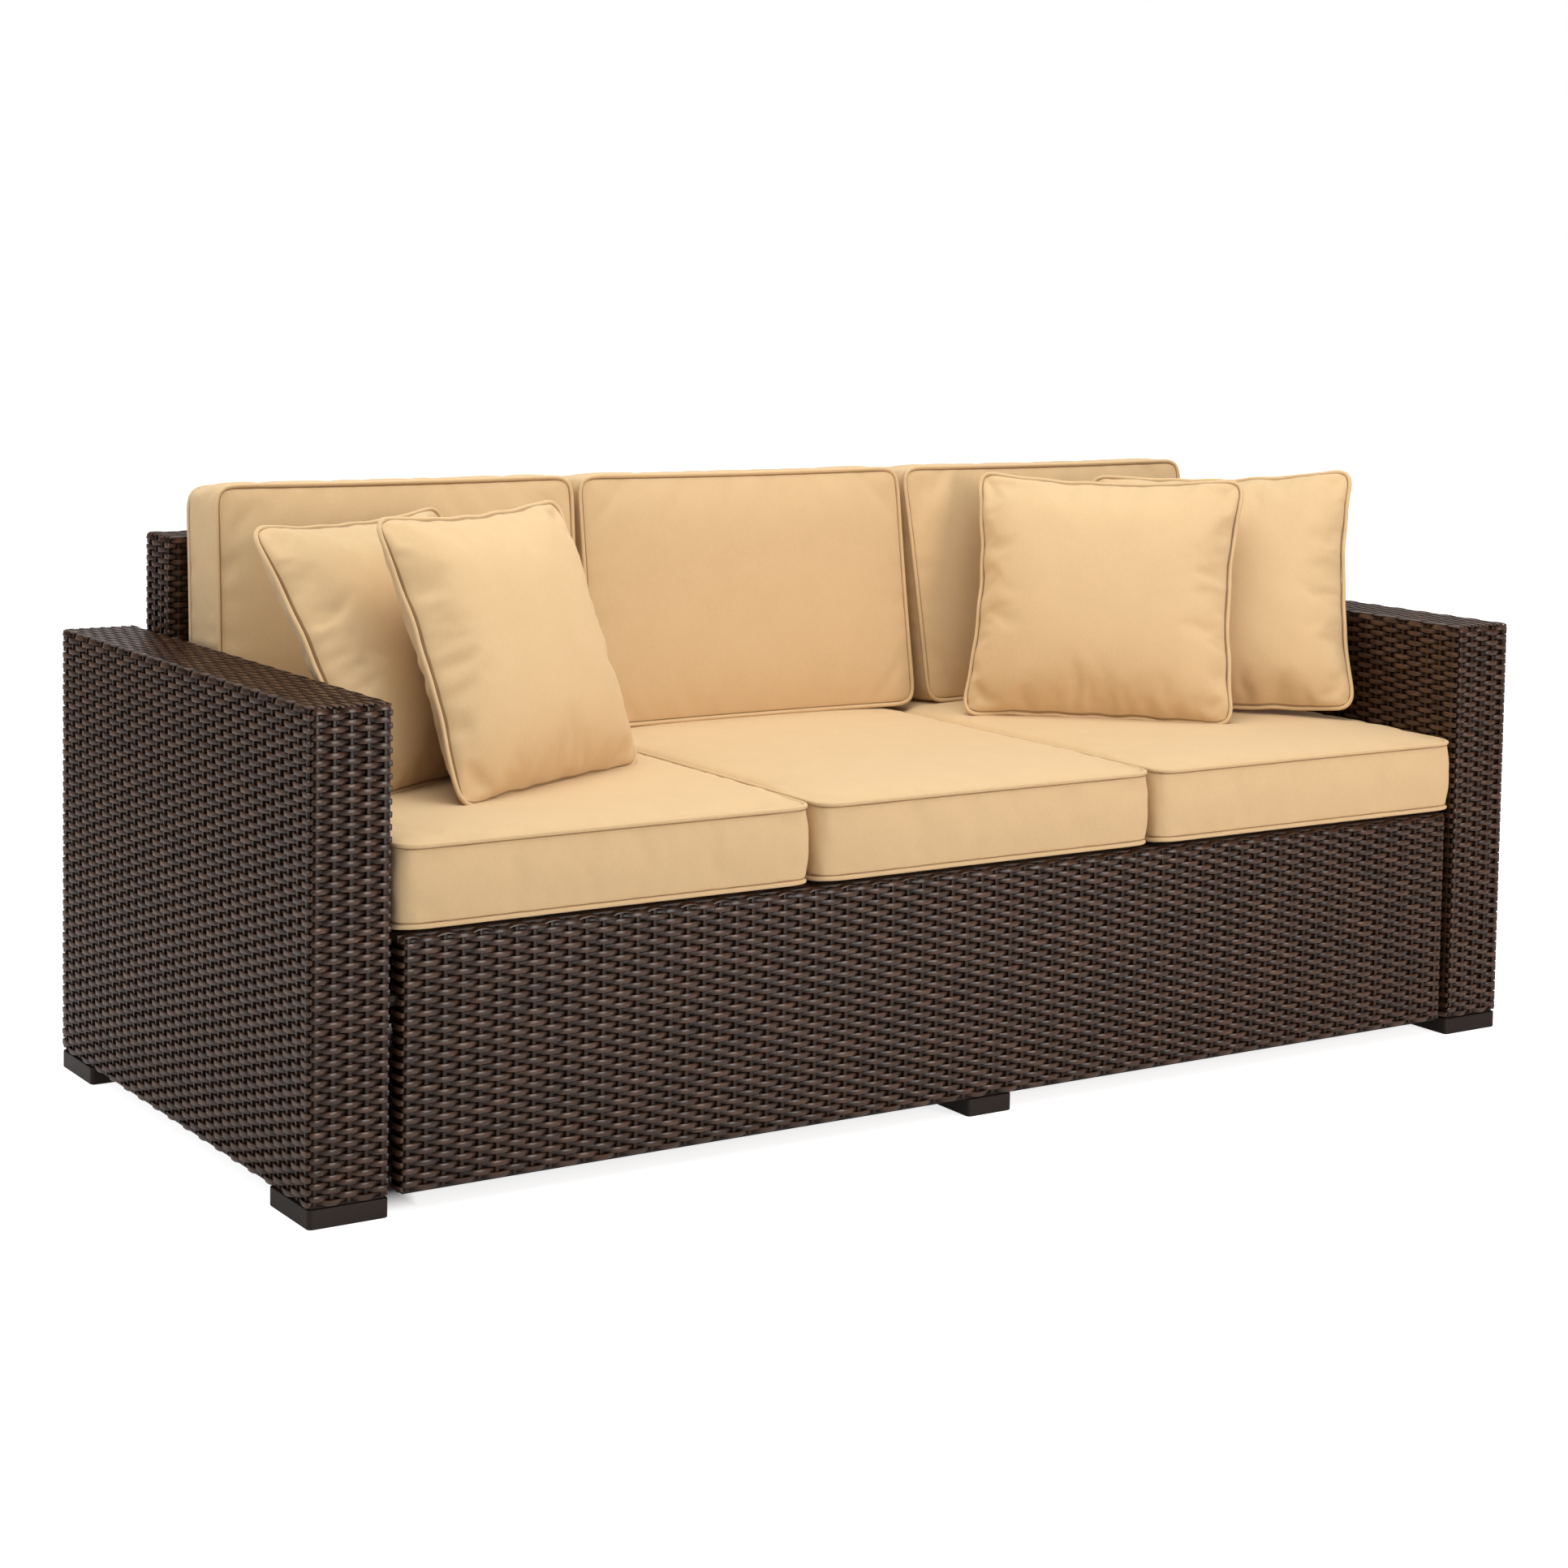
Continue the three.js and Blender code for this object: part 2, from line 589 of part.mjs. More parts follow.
// A back cushion stands on the seat, leans on the backrest and may be racked sideways at its foot
function addBackCushions() {
  const lean = THREE.MathUtils.degToRad(backLeanDegrees);
  const foot = deckHeight + seatHighSeam;
  const backY = backFrontY - joinGap - Math.tan(lean) * (backHeight - foot);
  backCushionShares.forEach(({ name, topLeft, topRight, footLeft, footRight }, place) => {
    const leftX = seatEdges[place] + topLeft * innerX;
    const rightX = seatEdges[place + 1] + topRight * innerX;
    const geometry = boxCushion(rightX - leftX, backCushionHeight, backLowSeam, backHighSeam, backCrown);
    geometry.rotateX(Math.PI / 2);
    geometry.translate((leftX + rightX) / 2, 0, backCushionHeight / 2);
    const { position } = geometry.attributes;
    for (let i = 0; i < position.count; i += 1) {
      const x = position.getX(i);
      const rack = THREE.MathUtils.lerp(footLeft, footRight, (x - leftX) / (rightX - leftX));
      position.setX(i, x + rack * (backCushionHeight - position.getZ(i)));
    }
    geometry.rotateX(-lean);
    geometry.translate(0, backY, foot);
    addPiece(`back_cushion_${name}`, 'fabric', settle(geometry));
  });
}

function addThrowPillows() {
  for (const { name, side, fromArm, fromBack, turn, lean } of pillowPlaceShares) {
    const x = side * (innerX - fromArm * pillowSide);
    const geometry = throwPillow();
    geometry.rotateX(Math.PI / 2 - THREE.MathUtils.degToRad(lean));
    geometry.rotateZ(THREE.MathUtils.degToRad(turn));
    geometry.translate(x, backFrontY - fromBack * pillowSide, deckHeight + seatHighSeam);
    addPiece(`throw_pillow_${name}`, 'fabric', settle(geometry));
  }
}

sides.forEach(addArm);
addBackrest();
addSeat();
addFeet();
addBolts();
addSeatCushions();
addBackCushions();
addThrowPillows();

export default sofa;
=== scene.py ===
# %% [markdown]
# # A woven garden sofa
# The sofa is four woven boxes: two arms, a backrest and a low front panel. Flat resin strands are
# woven over a frame of steel tubes, and ten loose cushions and pillows lie on top.
# The construction model already holds every size. This lesson loads it and dresses it: each woven
# panel becomes real strands, and each plain cushion becomes sewn cloth with piping.

# %% Load the construction model
import math

import bmesh
import bpy
import numpy as np
from mathutils import Matrix, Vector


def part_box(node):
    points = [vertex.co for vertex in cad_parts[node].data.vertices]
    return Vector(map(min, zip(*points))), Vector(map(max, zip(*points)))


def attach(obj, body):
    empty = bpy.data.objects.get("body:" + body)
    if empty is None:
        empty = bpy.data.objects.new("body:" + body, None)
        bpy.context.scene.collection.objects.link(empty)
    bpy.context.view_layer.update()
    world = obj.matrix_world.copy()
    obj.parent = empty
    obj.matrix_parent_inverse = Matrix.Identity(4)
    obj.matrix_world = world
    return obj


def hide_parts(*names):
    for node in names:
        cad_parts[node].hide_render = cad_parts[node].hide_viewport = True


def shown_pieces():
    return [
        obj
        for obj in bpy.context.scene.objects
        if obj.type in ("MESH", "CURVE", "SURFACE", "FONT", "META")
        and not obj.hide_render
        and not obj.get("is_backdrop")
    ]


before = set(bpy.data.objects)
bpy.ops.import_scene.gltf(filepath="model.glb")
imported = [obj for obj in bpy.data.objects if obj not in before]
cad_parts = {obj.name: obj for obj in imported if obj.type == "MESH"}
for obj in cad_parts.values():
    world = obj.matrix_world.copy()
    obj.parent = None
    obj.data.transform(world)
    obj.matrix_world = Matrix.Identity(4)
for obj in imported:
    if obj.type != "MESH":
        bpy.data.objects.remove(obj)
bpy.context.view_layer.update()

print("nodes in the construction model:", len(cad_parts))

# %% [markdown]
# ## The camera
# The photograph was taken with a long lens, a little above the cushions and from the front left.
# A shift lens keeps the upright edges of the arms parallel although the sofa sits low in the
# picture, so the camera looks almost level and the picture is slid down instead.

# %% Camera
camera_place = Vector((-2.335, -3.504, 1.103))
camera_yaw, camera_pitch, camera_roll = (math.radians(degrees) for degrees in (33.0, 3.87, 0.96))
camera_focal = 69.13
camera_shift = -0.1998

camera = bpy.data.objects.new("camera", bpy.data.cameras.new("camera"))
camera.data.sensor_width = 36
camera.data.lens = camera_focal
camera.data.shift_y = camera_shift
level_look = Matrix.Rotation(-camera_yaw, 4, "Z") @ Matrix.Rotation(math.pi / 2 - camera_pitch, 4, "X")
camera.matrix_world = Matrix.Translation(camera_place) @ level_look @ Matrix.Rotation(camera_roll, 4, "Z")
bpy.context.scene.collection.objects.link(camera)
bpy.context.scene.camera = camera
print("lens", camera_focal, "mm, shift", camera_shift)

# %% [markdown]
# ## Helpers for materials
# Every finish is made of Blender's shader nodes. These helpers add a node, join sockets and start a
# material, so that each recipe below reads as a short list of steps.

# %% Node helpers
def add_node(tree, kind, inputs=None, **settings):
    """Adds a node, sets its options, and fills its inputs from numbers, colours or other sockets."""
    node = tree.nodes.new(kind)
    for option, value in settings.items():
        setattr(node, option, value)
    for socket, value in (inputs or {}).items():
        if isinstance(value, bpy.types.NodeSocket):
            tree.links.new(value, node.inputs[socket])
        else:
            node.inputs[socket].default_value = value
    return node


def calculate(tree, operation, *values):
    return add_node(tree, "ShaderNodeMath", dict(enumerate(values)), operation=operation).outputs[0]


def blend_colours(tree, share, first, second):
    """A colour that goes from the first to the second as the share goes from 0 to 1."""
    node = add_node(tree, "ShaderNodeMix", {0: share, 6: first, 7: second}, data_type="RGBA")
    return node.outputs[2]


def spread(tree, value, low, high, start=0.0, end=1.0):
    """Stretches a value from low..high to start..end, and stops it there."""
    inputs = {"Value": value, "From Min": low, "From Max": high, "To Min": start, "To Max": end}
    return add_node(tree, "ShaderNodeMapRange", inputs).outputs[0]


def object_place(tree):
    """Where a point lies on its object, in metres."""
    return add_node(tree, "ShaderNodeTexCoord").outputs["Object"]


def split(tree, vector):
    return add_node(tree, "ShaderNodeSeparateXYZ", {"Vector": vector}).outputs


def noise(tree, place, scale, detail=2.0, stretch=(1, 1, 1)):
    """Noise over a place; the stretch makes it finer along one direction than along another."""
    moved = add_node(tree, "ShaderNodeMapping", {"Vector": place, "Scale": stretch}).outputs[0]
    inputs = {"Vector": moved, "Scale": scale, "Detail": detail}
    return add_node(tree, "ShaderNodeTexNoise", inputs).outputs["Fac"]


def new_group(name, inputs, outputs):
    """A shader node group with named inputs (and their defaults) and named outputs."""
    group = bpy.data.node_groups.new(name, "ShaderNodeTree")
    for title, default in inputs.items():
        kind = "NodeSocketColor" if isinstance(default, tuple) else "NodeSocketFloat"
        group.interface.new_socket(title, in_out="INPUT", socket_type=kind).default_value = default
    for title, kind in outputs.items():
        group.interface.new_socket(title, in_out="OUTPUT", socket_type="NodeSocket" + kind)
    return group, group.nodes.new("NodeGroupInput").outputs, group.nodes.new("NodeGroupOutput").inputs


def new_material(name, roughness=0.5, metallic=0.0):
    """A material with one Principled shader, returned with its node tree."""
    material = bpy.data.materials.new(name)
    material.use_nodes = True
    shader = material.node_tree.nodes["Principled BSDF"]
    shader.inputs["Roughness"].default_value = roughness
    shader.inputs["Metallic"].default_value = metallic
    return material, material.node_tree, shader.inputs


def place_group(tree, group, **values):
    node = add_node(tree, "ShaderNodeGroup", node_tree=group)
    for title, value in values.items():
        node.inputs[title.replace("_", " ")].default_value = value
    return node.outputs


def add_bump(tree, height, strength, depth):
    inputs = {"Height": height, "Strength": strength, "Distance": depth}
    return add_node(tree, "ShaderNodeBump", inputs).outputs[0]


# %% [markdown]
# ## Resin strands
# Each strand is extruded plastic that imitates cane: a dark brown body with fine lengthwise streaks,
# and longer patches that are a little redder, greyer or lighter. The streaks must follow the strand
# round every bend, so they read a UV map: its first value runs along the strand in metres, and
# its second counts the strands. The face of a real strand is slightly domed, which spreads its
# sheen upwards, so the bump adds that dome to a strand that is modelled flat. The weave also stores
# how high each place lies, and the colour follows it: where a strand lies on top it takes a paler
# tint, partly dust and partly painted sheen, and where it dives under a stake it gets painted shade,
# down to black at the edges beside the holes.

# %% Strand grain and resin material
dark_resin = (0.0240, 0.0106, 0.0056, 1)
brown_resin = (0.0745, 0.0332, 0.0172, 1)
light_resin = (0.1500, 0.0720, 0.0360, 1)
resin_gloss = 0.42
glancing_gloss = 0.03
trough_shade_share = 0.45
dust_and_sheen_tint = (0.1300, 0.0720, 0.0470, 1)
patch_length = 0.045
streak_length = 0.030
streaks_across = 5.0
face_rounding = 0.00048
streak_relief_share = 0.15

grain, grain_in, grain_out = new_group(
    "strand grain",
    {"Dark": dark_resin, "Brown": brown_resin, "Light": light_resin, "Dust and sheen": dust_and_sheen_tint},
    {"Color": "Color", "Roughness": "Float", "Height": "Float", "Shade": "Float"},
)
along_strand = add_node(grain, "ShaderNodeUVMap", uv_map="strand").outputs[0]
patches = noise(grain, along_strand, 1.0, 2.0, (1 / patch_length, 1.7, 1))
streaks = noise(grain, along_strand, 1.0, 3.0, (1 / streak_length, streaks_across * 2, 1))
rare_patches = noise(grain, along_strand, 1.0, 1.0, (0.6 / patch_length, 2.9, 1))
body_colour = blend_colours(grain, spread(grain, patches, 0.32, 0.68), grain_in["Dark"], grain_in["Brown"])
glint_streaks = spread(grain, streaks, 0.42, 0.66, 0.1, 0.85)
glints = calculate(grain, "MULTIPLY", spread(grain, rare_patches, 0.56, 0.74), glint_streaks)
streaked = blend_colours(grain, glints, body_colour, grain_in["Light"])
crest = add_node(grain, "ShaderNodeAttribute", attribute_name="crest").outputs["Fac"]
# Paler tint on the highest places: partly dust, partly painted sheen
dust_and_sheen = blend_colours(grain, spread(grain, crest, 0.6, 1.0, 0.0, 0.1), streaked, grain_in["Dust and sheen"])
# Painted shade: the lower a place lies in the weave, the darker it is
shade = spread(grain, crest, 0.1, 0.7, trough_shade_share, 1.0)
# The outer face is the second quarter of the way round the section
round_section = calculate(grain, "FRACT", split(grain, along_strand)["Y"])
across_face = spread(grain, round_section, 0.25, 0.5, -1, 1)
from_middle = calculate(grain, "MULTIPLY", across_face, across_face)
# Painted shade: black at the strand's edges where it dives, for the shade in the holes
painted_hole_shade = calculate(grain, "MULTIPLY", spread(grain, crest, 0.35, 0.05), spread(grain, from_middle, 0.15, 0.6))
shaded = calculate(grain, "MULTIPLY", shade, calculate(grain, "SUBTRACT", 1.0, painted_hole_shade))
grain.links.new(blend_colours(grain, shaded, (0, 0, 0, 1), dust_and_sheen), grain_out["Color"])
grain.links.new(spread(grain, streaks, 0.3, 0.7, 0.25, 0.35), grain_out["Roughness"])
face_round = calculate(grain, "SUBTRACT", 1.0, from_middle)
relief = calculate(grain, "ADD", face_round, calculate(grain, "MULTIPLY", streaks, streak_relief_share))
grain.links.new(relief, grain_out["Height"])
grain.links.new(shaded, grain_out["Shade"])

resin, resin_tree, resin_in = new_material("woven_resin")
strand_finish = place_group(resin_tree, grain)
resin_tree.links.new(strand_finish["Color"], resin_in["Base Color"])
resin_tree.links.new(strand_finish["Roughness"], resin_in["Roughness"])
glancing = add_node(resin_tree, "ShaderNodeLayerWeight", {"Blend": 0.5}).outputs["Facing"]
gloss = spread(resin_tree, glancing, 0.5, 0.8, resin_gloss, glancing_gloss)
resin_tree.links.new(calculate(resin_tree, "MULTIPLY", gloss, strand_finish["Shade"]),
                     resin_in["Specular IOR Level"])
resin_tree.links.new(add_bump(resin_tree, strand_finish["Height"], 1.0, face_rounding), resin_in["Normal"])
print("resin strands: patches of", patch_length, "m")

# %% [markdown]
# ## Outdoor fabric
# The cushions have covers of tan polyester in a plain weave, matt and a little soft. Its threads are
# thinner than a millimetre, so they are a bump in the material and not geometry: one noise is
# stretched along one thread direction and another along the other. Along each seam the cloth dips
# into a groove where the stitches pull; the groove is not modelled, and a thin line of painted
# shade beside the piping stands in for it.

# %% Fabric material
tan = (0.672, 0.474, 0.262, 1)
worn_tan = (0.600, 0.412, 0.218, 1)
seam_groove_shade = (0.360, 0.230, 0.115, 1)
thread_size = 0.0008
mottle_size = 0.05
groove_shade_start = 0.56

cloth_weave, weave_in, weave_out = new_group(
    "cloth weave",
    {"Tan": tan, "Shade": worn_tan, "Seam": seam_groove_shade, "Thread size": thread_size},
    {"Color": "Color", "Height": "Float"},
)
cloth_place = object_place(cloth_weave)
threads_per_metre = calculate(cloth_weave, "DIVIDE", 1.0, weave_in["Thread size"])
warp_threads = noise(cloth_weave, cloth_place, threads_per_metre, 1.0, (1, 0.12, 0.12))
weft_threads = noise(cloth_weave, cloth_place, threads_per_metre, 1.0, (0.12, 1, 1))
mottle = noise(cloth_weave, cloth_place, 1 / mottle_size, 3.0)
threads = calculate(cloth_weave, "ADD", warp_threads, weft_threads)
tone = calculate(cloth_weave, "ADD", spread(cloth_weave, threads, 0.6, 1.4, 0.2, 0.8),
                 spread(cloth_weave, mottle, 0.35, 0.65, 0, 0.2))
woven_tone = blend_colours(cloth_weave, tone, weave_in["Shade"], weave_in["Tan"])
# Painted shade: a thin dark line beside each seam, for the groove where the stitches pull
seam_shade = add_node(cloth_weave, "ShaderNodeAttribute", attribute_name="seam_shade").outputs["Fac"]
groove_shade = spread(cloth_weave, seam_shade, groove_shade_start, groove_shade_start + 0.06)
cloth_weave.links.new(blend_colours(cloth_weave, groove_shade, woven_tone, weave_in["Seam"]), weave_out["Color"])
cloth_weave.links.new(threads, weave_out["Height"])


def fabric(name, tan_colour, shade_colour):
    """A tan cover cloth; the sheen is the fuzz of its fibres."""
    material, tree, inputs = new_material(name, roughness=0.85)
    finish = place_group(tree, cloth_weave, Tan=tan_colour, Shade=shade_colour)
    tree.links.new(finish["Color"], inputs["Base Color"])
    tree.links.new(add_bump(tree, finish["Height"], 0.5, 0.0003), inputs["Normal"])
    inputs["Sheen Weight"].default_value = 0.12
    inputs["Sheen Roughness"].default_value = 0.5
    inputs["Specular IOR Level"].default_value = 0.25
    return material


cover_cloth = fabric("cover_cloth", tan, worn_tan)
print("fabric: threads of", thread_size * 1000, "mm")

# %% [markdown]
# ## Coated steel, moulded feet and zinc
# The frame tubes are powder coated, which leaves a faint orange peel. The feet are moulded plastic
# with the same brown, and the bolts are zinc plated. Only the feet show from the front; the rest is
# seen from below.

# %% Hard finishes
orange_peel, peel_in, peel_out = new_group(
    "orange peel",
    {"Tone": (0.05, 0.03, 0.02, 1), "Grain size": 0.002},
    {"Color": "Color", "Height": "Float"},
)
grains_per_metre = calculate(orange_peel, "DIVIDE", 1.0, peel_in["Grain size"])
peel = noise(orange_peel, object_place(orange_peel), grains_per_metre, 2.0)
dulled = blend_colours(orange_peel, 0.35, peel_in["Tone"], (0, 0, 0, 1))
peel_tone = blend_colours(orange_peel, spread(orange_peel, peel, 0.3, 0.7), dulled, peel_in["Tone"])
orange_peel.links.new(peel_tone, peel_out["Color"])
orange_peel.links.new(peel, peel_out["Height"])


def hard_finish(name, tone, roughness, metallic, grain_size, depth):
    material, tree, inputs = new_material(name, roughness, metallic)
    finish = place_group(tree, orange_peel, Tone=tone, Grain_size=grain_size)
    tree.links.new(finish["Color"], inputs["Base Color"])
    tree.links.new(add_bump(tree, finish["Height"], 0.4, depth), inputs["Normal"])
    inputs["Specular IOR Level"].default_value = 0.2
    return material


coated_steel = hard_finish("coated_steel", (0.020, 0.012, 0.008, 1), 0.42, 0.0, 0.002, 0.0002)
moulded_foot = hard_finish("moulded_foot", (0.024, 0.014, 0.010, 1), 0.48, 0.0, 0.0012, 0.0001)
zinc = hard_finish("zinc_plate", (0.62, 0.62, 0.60, 1), 0.35, 0.9, 0.004, 0.00005)
print("hard finishes:", coated_steel.name, moulded_foot.name, zinc.name)

# %% [markdown]
# ## Laying strips and bending them
# A strand, and later a length of piping, is a long thin strip whose section is closed. Each starts
# flat on the table as one of Blender's grids: X runs along it from 0 to 1, Y goes round its section
# from 0 to 1, and Z counts the strips. Then a formula bends all of them into place at once, and
# the edges that meet are merged. That is far quicker than building each strand on its own.

# %% Strip tools
merge_distance = 2e-6
sharp_angle = math.radians(50)


def into_mesh(sheet, mesh):
    """Writes a bmesh into a mesh, which may also be the name of a new one, and lets the bmesh go."""
    if isinstance(mesh, str):
        mesh = bpy.data.meshes.new(mesh)
    sheet.to_mesh(mesh)
    sheet.free()
    return mesh


def solid_box(low, high):
    """A plain box between two corners, as a bmesh."""
    sheet = bmesh.new()
    bmesh.ops.create_cube(sheet, size=1)
    bmesh.ops.scale(sheet, vec=high - low, verts=sheet.verts)
    bmesh.ops.translate(sheet, vec=(low + high) / 2, verts=sheet.verts)
    return sheet


def flat_strips(strips, steps, around):
    """Grids that lie side by side, each with its steps along X and its section round Y."""
    sheet = bmesh.new()
    for number in range(strips):
        spot = Matrix.Translation((0.5, 0.5, number))
        bmesh.ops.create_grid(sheet, x_segments=steps, y_segments=around, size=0.5, matrix=spot)
    return sheet


def mesh_points(mesh):
    points = np.empty(len(mesh.vertices) * 3, np.float32)
    mesh.vertices.foreach_get("co", points)
    return points.reshape(-1, 3).astype(float)


def set_points(mesh, points):
    mesh.vertices.foreach_set("co", points.astype(np.float32).ravel())
    mesh.update()


def bend_strips(name, strips, steps, around, bend, length=1.0, crest=None):
    """Bends flat strips with a formula of (along, round, number) and closes them. Gives a mesh."""
    mesh = into_mesh(flat_strips(strips, steps, around), name)
    along, turn, number = mesh_points(mesh).T
    corners = np.empty(len(mesh.loops), np.int32)
    mesh.loops.foreach_get("vertex_index", corners)
    strand_map = np.stack([along * length, number + turn], axis=1)[corners]
    mesh.uv_layers.new(name="strand").data.foreach_set("uv", strand_map.astype(np.float32).ravel())
    number = np.rint(number).astype(int)
    set_points(mesh, bend(along, turn, number))
    if crest is not None:
        height = np.broadcast_to(crest(along, number), along.shape).astype(np.float32)
        mesh.attributes.new("crest", "FLOAT", "POINT").data.foreach_set("value", height)
    return close_seams(mesh)


def close_seams(mesh):
    """Merges the edges that meet, caps open ends and turns every face outwards."""
    sheet = bmesh.new()
    sheet.from_mesh(mesh)
    bmesh.ops.remove_doubles(sheet, verts=sheet.verts, dist=merge_distance)
    bmesh.ops.holes_fill(sheet, edges=[edge for edge in sheet.edges if edge.is_boundary], sides=0)
    bmesh.ops.recalc_face_normals(sheet, faces=sheet.faces)
    return into_mesh(sheet, mesh)


def crisp(mesh):
    """Keeps the long edges of flat strands crisp, while their bends stay smooth."""
    mesh.shade_smooth()
    mesh.set_sharp_from_angle(angle=sharp_angle)
    return mesh


def add_piece(name, mesh, material, replaced=(), smooth=True):
    """Puts a finished mesh into the scene, tied to the sofa's one body."""
    piece = bpy.data.objects.new(name, mesh)
    mesh.materials.clear()
    mesh.materials.append(material)
    if smooth:
        mesh.polygons.foreach_set("use_smooth", [True] * len(mesh.polygons))
    bpy.context.scene.collection.objects.link(piece)
    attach(piece, "root")
    if replaced:
        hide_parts(*replaced)
    return piece


# %% [markdown]
# ## The path of a strand round a woven box
# A strand runs along a side, round a corner, and along the next side. Each side is measured in
# stakes, the upright strips that the strand passes, so that the crossing pattern stays even. Half
# of each corner's bend belongs to the side before it and half to the side after it.

# %% Side paths
strand_steps = 6


class Path:
    """Points along a run, the way each one faces, and its place counted in stakes."""

    def __init__(self, points, facing, stakes):
        self.points, self.facing, self.stakes = points, facing, stakes

    def then(self, other):
        last = self.stakes[-1]
        return Path(np.concatenate([self.points, other.points[1:]]),
                    np.concatenate([self.facing, other.facing[1:]]),
                    np.concatenate([self.stakes, last + other.stakes[1:] - other.stakes[0]]))

    def part(self, first, last):
        return Path(self.points[first:last], self.facing[first:last], self.stakes[first:last])

    def at(self, share):
        """Points and facings at shares of the run, from 0 to 1."""
        spot = np.clip(share, 0, 1) * (len(self.points) - 1)
        index = np.arange(len(self.points))
        points = np.stack([np.interp(spot, index, column) for column in self.points.T], axis=1)
        facing = np.stack([np.interp(spot, index, column) for column in self.facing.T], axis=1)
        return points, facing, np.interp(spot, index, self.stakes)

    def length(self):
        return float(np.linalg.norm(np.diff(self.points, axis=0), axis=1).sum())


def side_path(start, along, outward, length, bend_radius, stakes, steps=strand_steps):
    """One side of a box, from its sharp corner at start, with half a bend at each end."""
    half_bend = math.pi * bend_radius / 4
    run = length - 2 * bend_radius + 2 * half_bend
    count = np.linspace(0, stakes, stakes * steps + 1)
    travelled = count / stakes * run
    turn = (np.minimum(travelled - half_bend, 0) + np.maximum(travelled - run + half_bend, 0)) / bend_radius
    forward = bend_radius + np.clip(travelled - half_bend, 0, length - 2 * bend_radius)
    forward = forward + bend_radius * np.sin(turn)
    inward = bend_radius * (1 - np.cos(turn))
    along, outward = np.array(along, float), np.array(outward, float)
    points = np.array(start, float) + np.outer(forward, along) - np.outer(inward, outward)
    facing = np.outer(np.sin(turn), along) + np.outer(np.cos(turn), outward)
    return Path(points, facing, count)


# %% [markdown]
# ## How a strand weaves
# In plain weave a strand goes over one stake and under the next, and the strand above it does the
# opposite. The wave has a broad crest over each stake and a short steep dive beside it, so from the
# front the crests look like rows of small bricks. A strand spreads where it lies over a stake and
# narrows where it dives. On the top of an arm the strands are pulled nearly flat, and the narrow
# places leave rows of small holes, which painted shade makes black. At the corners of a box the
# strands wrap a cane by turns, which makes a column of little knots, lit with a painted highlight.

# %% Weave wave and strand section
weave_swing = 0.0026
strand_thickness = 0.0014
ring_pinch_share = 0.06
top_pinch_share = 0.45
face_width_share = 0.86
plateau_power = 0.65
flat_shade_share = 0.45
knot_height = 0.0006
knot_reach = 0.24
row_drift = 0.0003
least_swing_share = 0.86
strand_depth = weave_swing + strand_thickness / 2


def over_and_under(stakes):
    """A wave with broad crests that is 1 at stake 0.5, -1 at stake 1.5, and so on."""
    wave = np.cos(np.pi * (stakes - 0.5))
    return np.sign(wave) * np.abs(wave) ** plateau_power


def strand_section(turn, width, thickness):
    """The four corners of a flat strand whose outer face is narrower than its back."""
    corner = np.rint(turn * 4).astype(int) % 4
    across = np.array([-0.5, -0.5 * face_width_share, 0.5 * face_width_share, 0.5])[corner] * width
    height = np.array([-0.5, 0.5, 0.5, -0.5])[corner] * thickness
    return across, height


def weave_strands(name, path, cross_path, corner, face, row_span, rows, seed, flat_share=1, knots=(),
                  pinch_share=ring_pinch_share):
    """Strands along a path, stacked row by row along a cross path that starts at the same corner.

    The face says which way the cross path's own side looks and which way its rows go.
    """
    numbers = np.arange(*row_span)
    dice = np.random.default_rng(seed)
    drift = dice.uniform(-row_drift, row_drift, rows)
    swing = flat_share * weave_swing * dice.uniform(least_swing_share, 1.0, rows)
    pitch = cross_path.length() / rows
    depth = strand_depth - weave_swing * (1 - flat_share)
    steps = len(path.points) - 1

    def wave_of(along, row):
        """How high each place lies, from -1 to 1, and how much a corner knot adds."""
        _, _, stakes = path.at(along)
        side = np.where(row % 2, -1, 1)
        knot = sum(np.exp(-((stakes - place) / knot_reach) ** 2) for place in knots) if knots else 0 * along
        return over_and_under(stakes) * side, knot * side

    # The height the resin reads: low places get painted shade, and knots a painted highlight
    def crest(along, number):
        row = numbers[number]
        wave, knot = wave_of(along, row)
        _, _, stakes = path.at(along)
        # On a flat side a hole of painted shade lies beside every second stake, in turns with the neighbours
        beside = np.maximum(0, np.cos(np.pi * stakes) * np.where(row % 2, -1, 1))
        painted_hole_shade = (1 - flat_share) * (1 - np.abs(wave)) ** 2 * beside
        # How strongly height shows as painted shade; a flat top still gets a light and dark checker
        tone = max(flat_share, flat_shade_share)
        return np.clip(0.5 + 0.5 * tone * wave + 0.5 * knot - painted_hole_shade, 0, 1)

    def bend(along, turn, number):
        row = numbers[number]
        points, facing, _ = path.at(along)
        wave, knot = wave_of(along, row)
        width = pitch * (1 - pinch_share * (1 - np.abs(wave)))
        across, height = strand_section(turn, width, strand_thickness)
        rise = height + swing[row] * wave + knot_height * knot - depth
        spot, cross_facing, _ = cross_path.at((row + 0.5) / rows)
        ahead, _, _ = cross_path.at((row + 0.75) / rows)
        behind, _, _ = cross_path.at((row + 0.25) / rows)
        upward = ahead - behind
        upward /= np.linalg.norm(upward, axis=1)[:, None]
        outward, upright = face

        def turn_to_side(arrows):
            """The cross path is measured on its own side; this turns its arrows to where the strand is."""
            return (arrows @ outward)[:, None] * facing + (arrows @ upright)[:, None] * upright

        return (points + turn_to_side(spot - corner) + turn_to_side(cross_facing) * rise[:, None]
                + turn_to_side(upward) * (across + drift[row])[:, None])

    return crisp(bend_strips(name, len(numbers), steps, 4, bend, path.length(), crest))


print("strands swing", weave_swing * 2000, "mm from front to back")

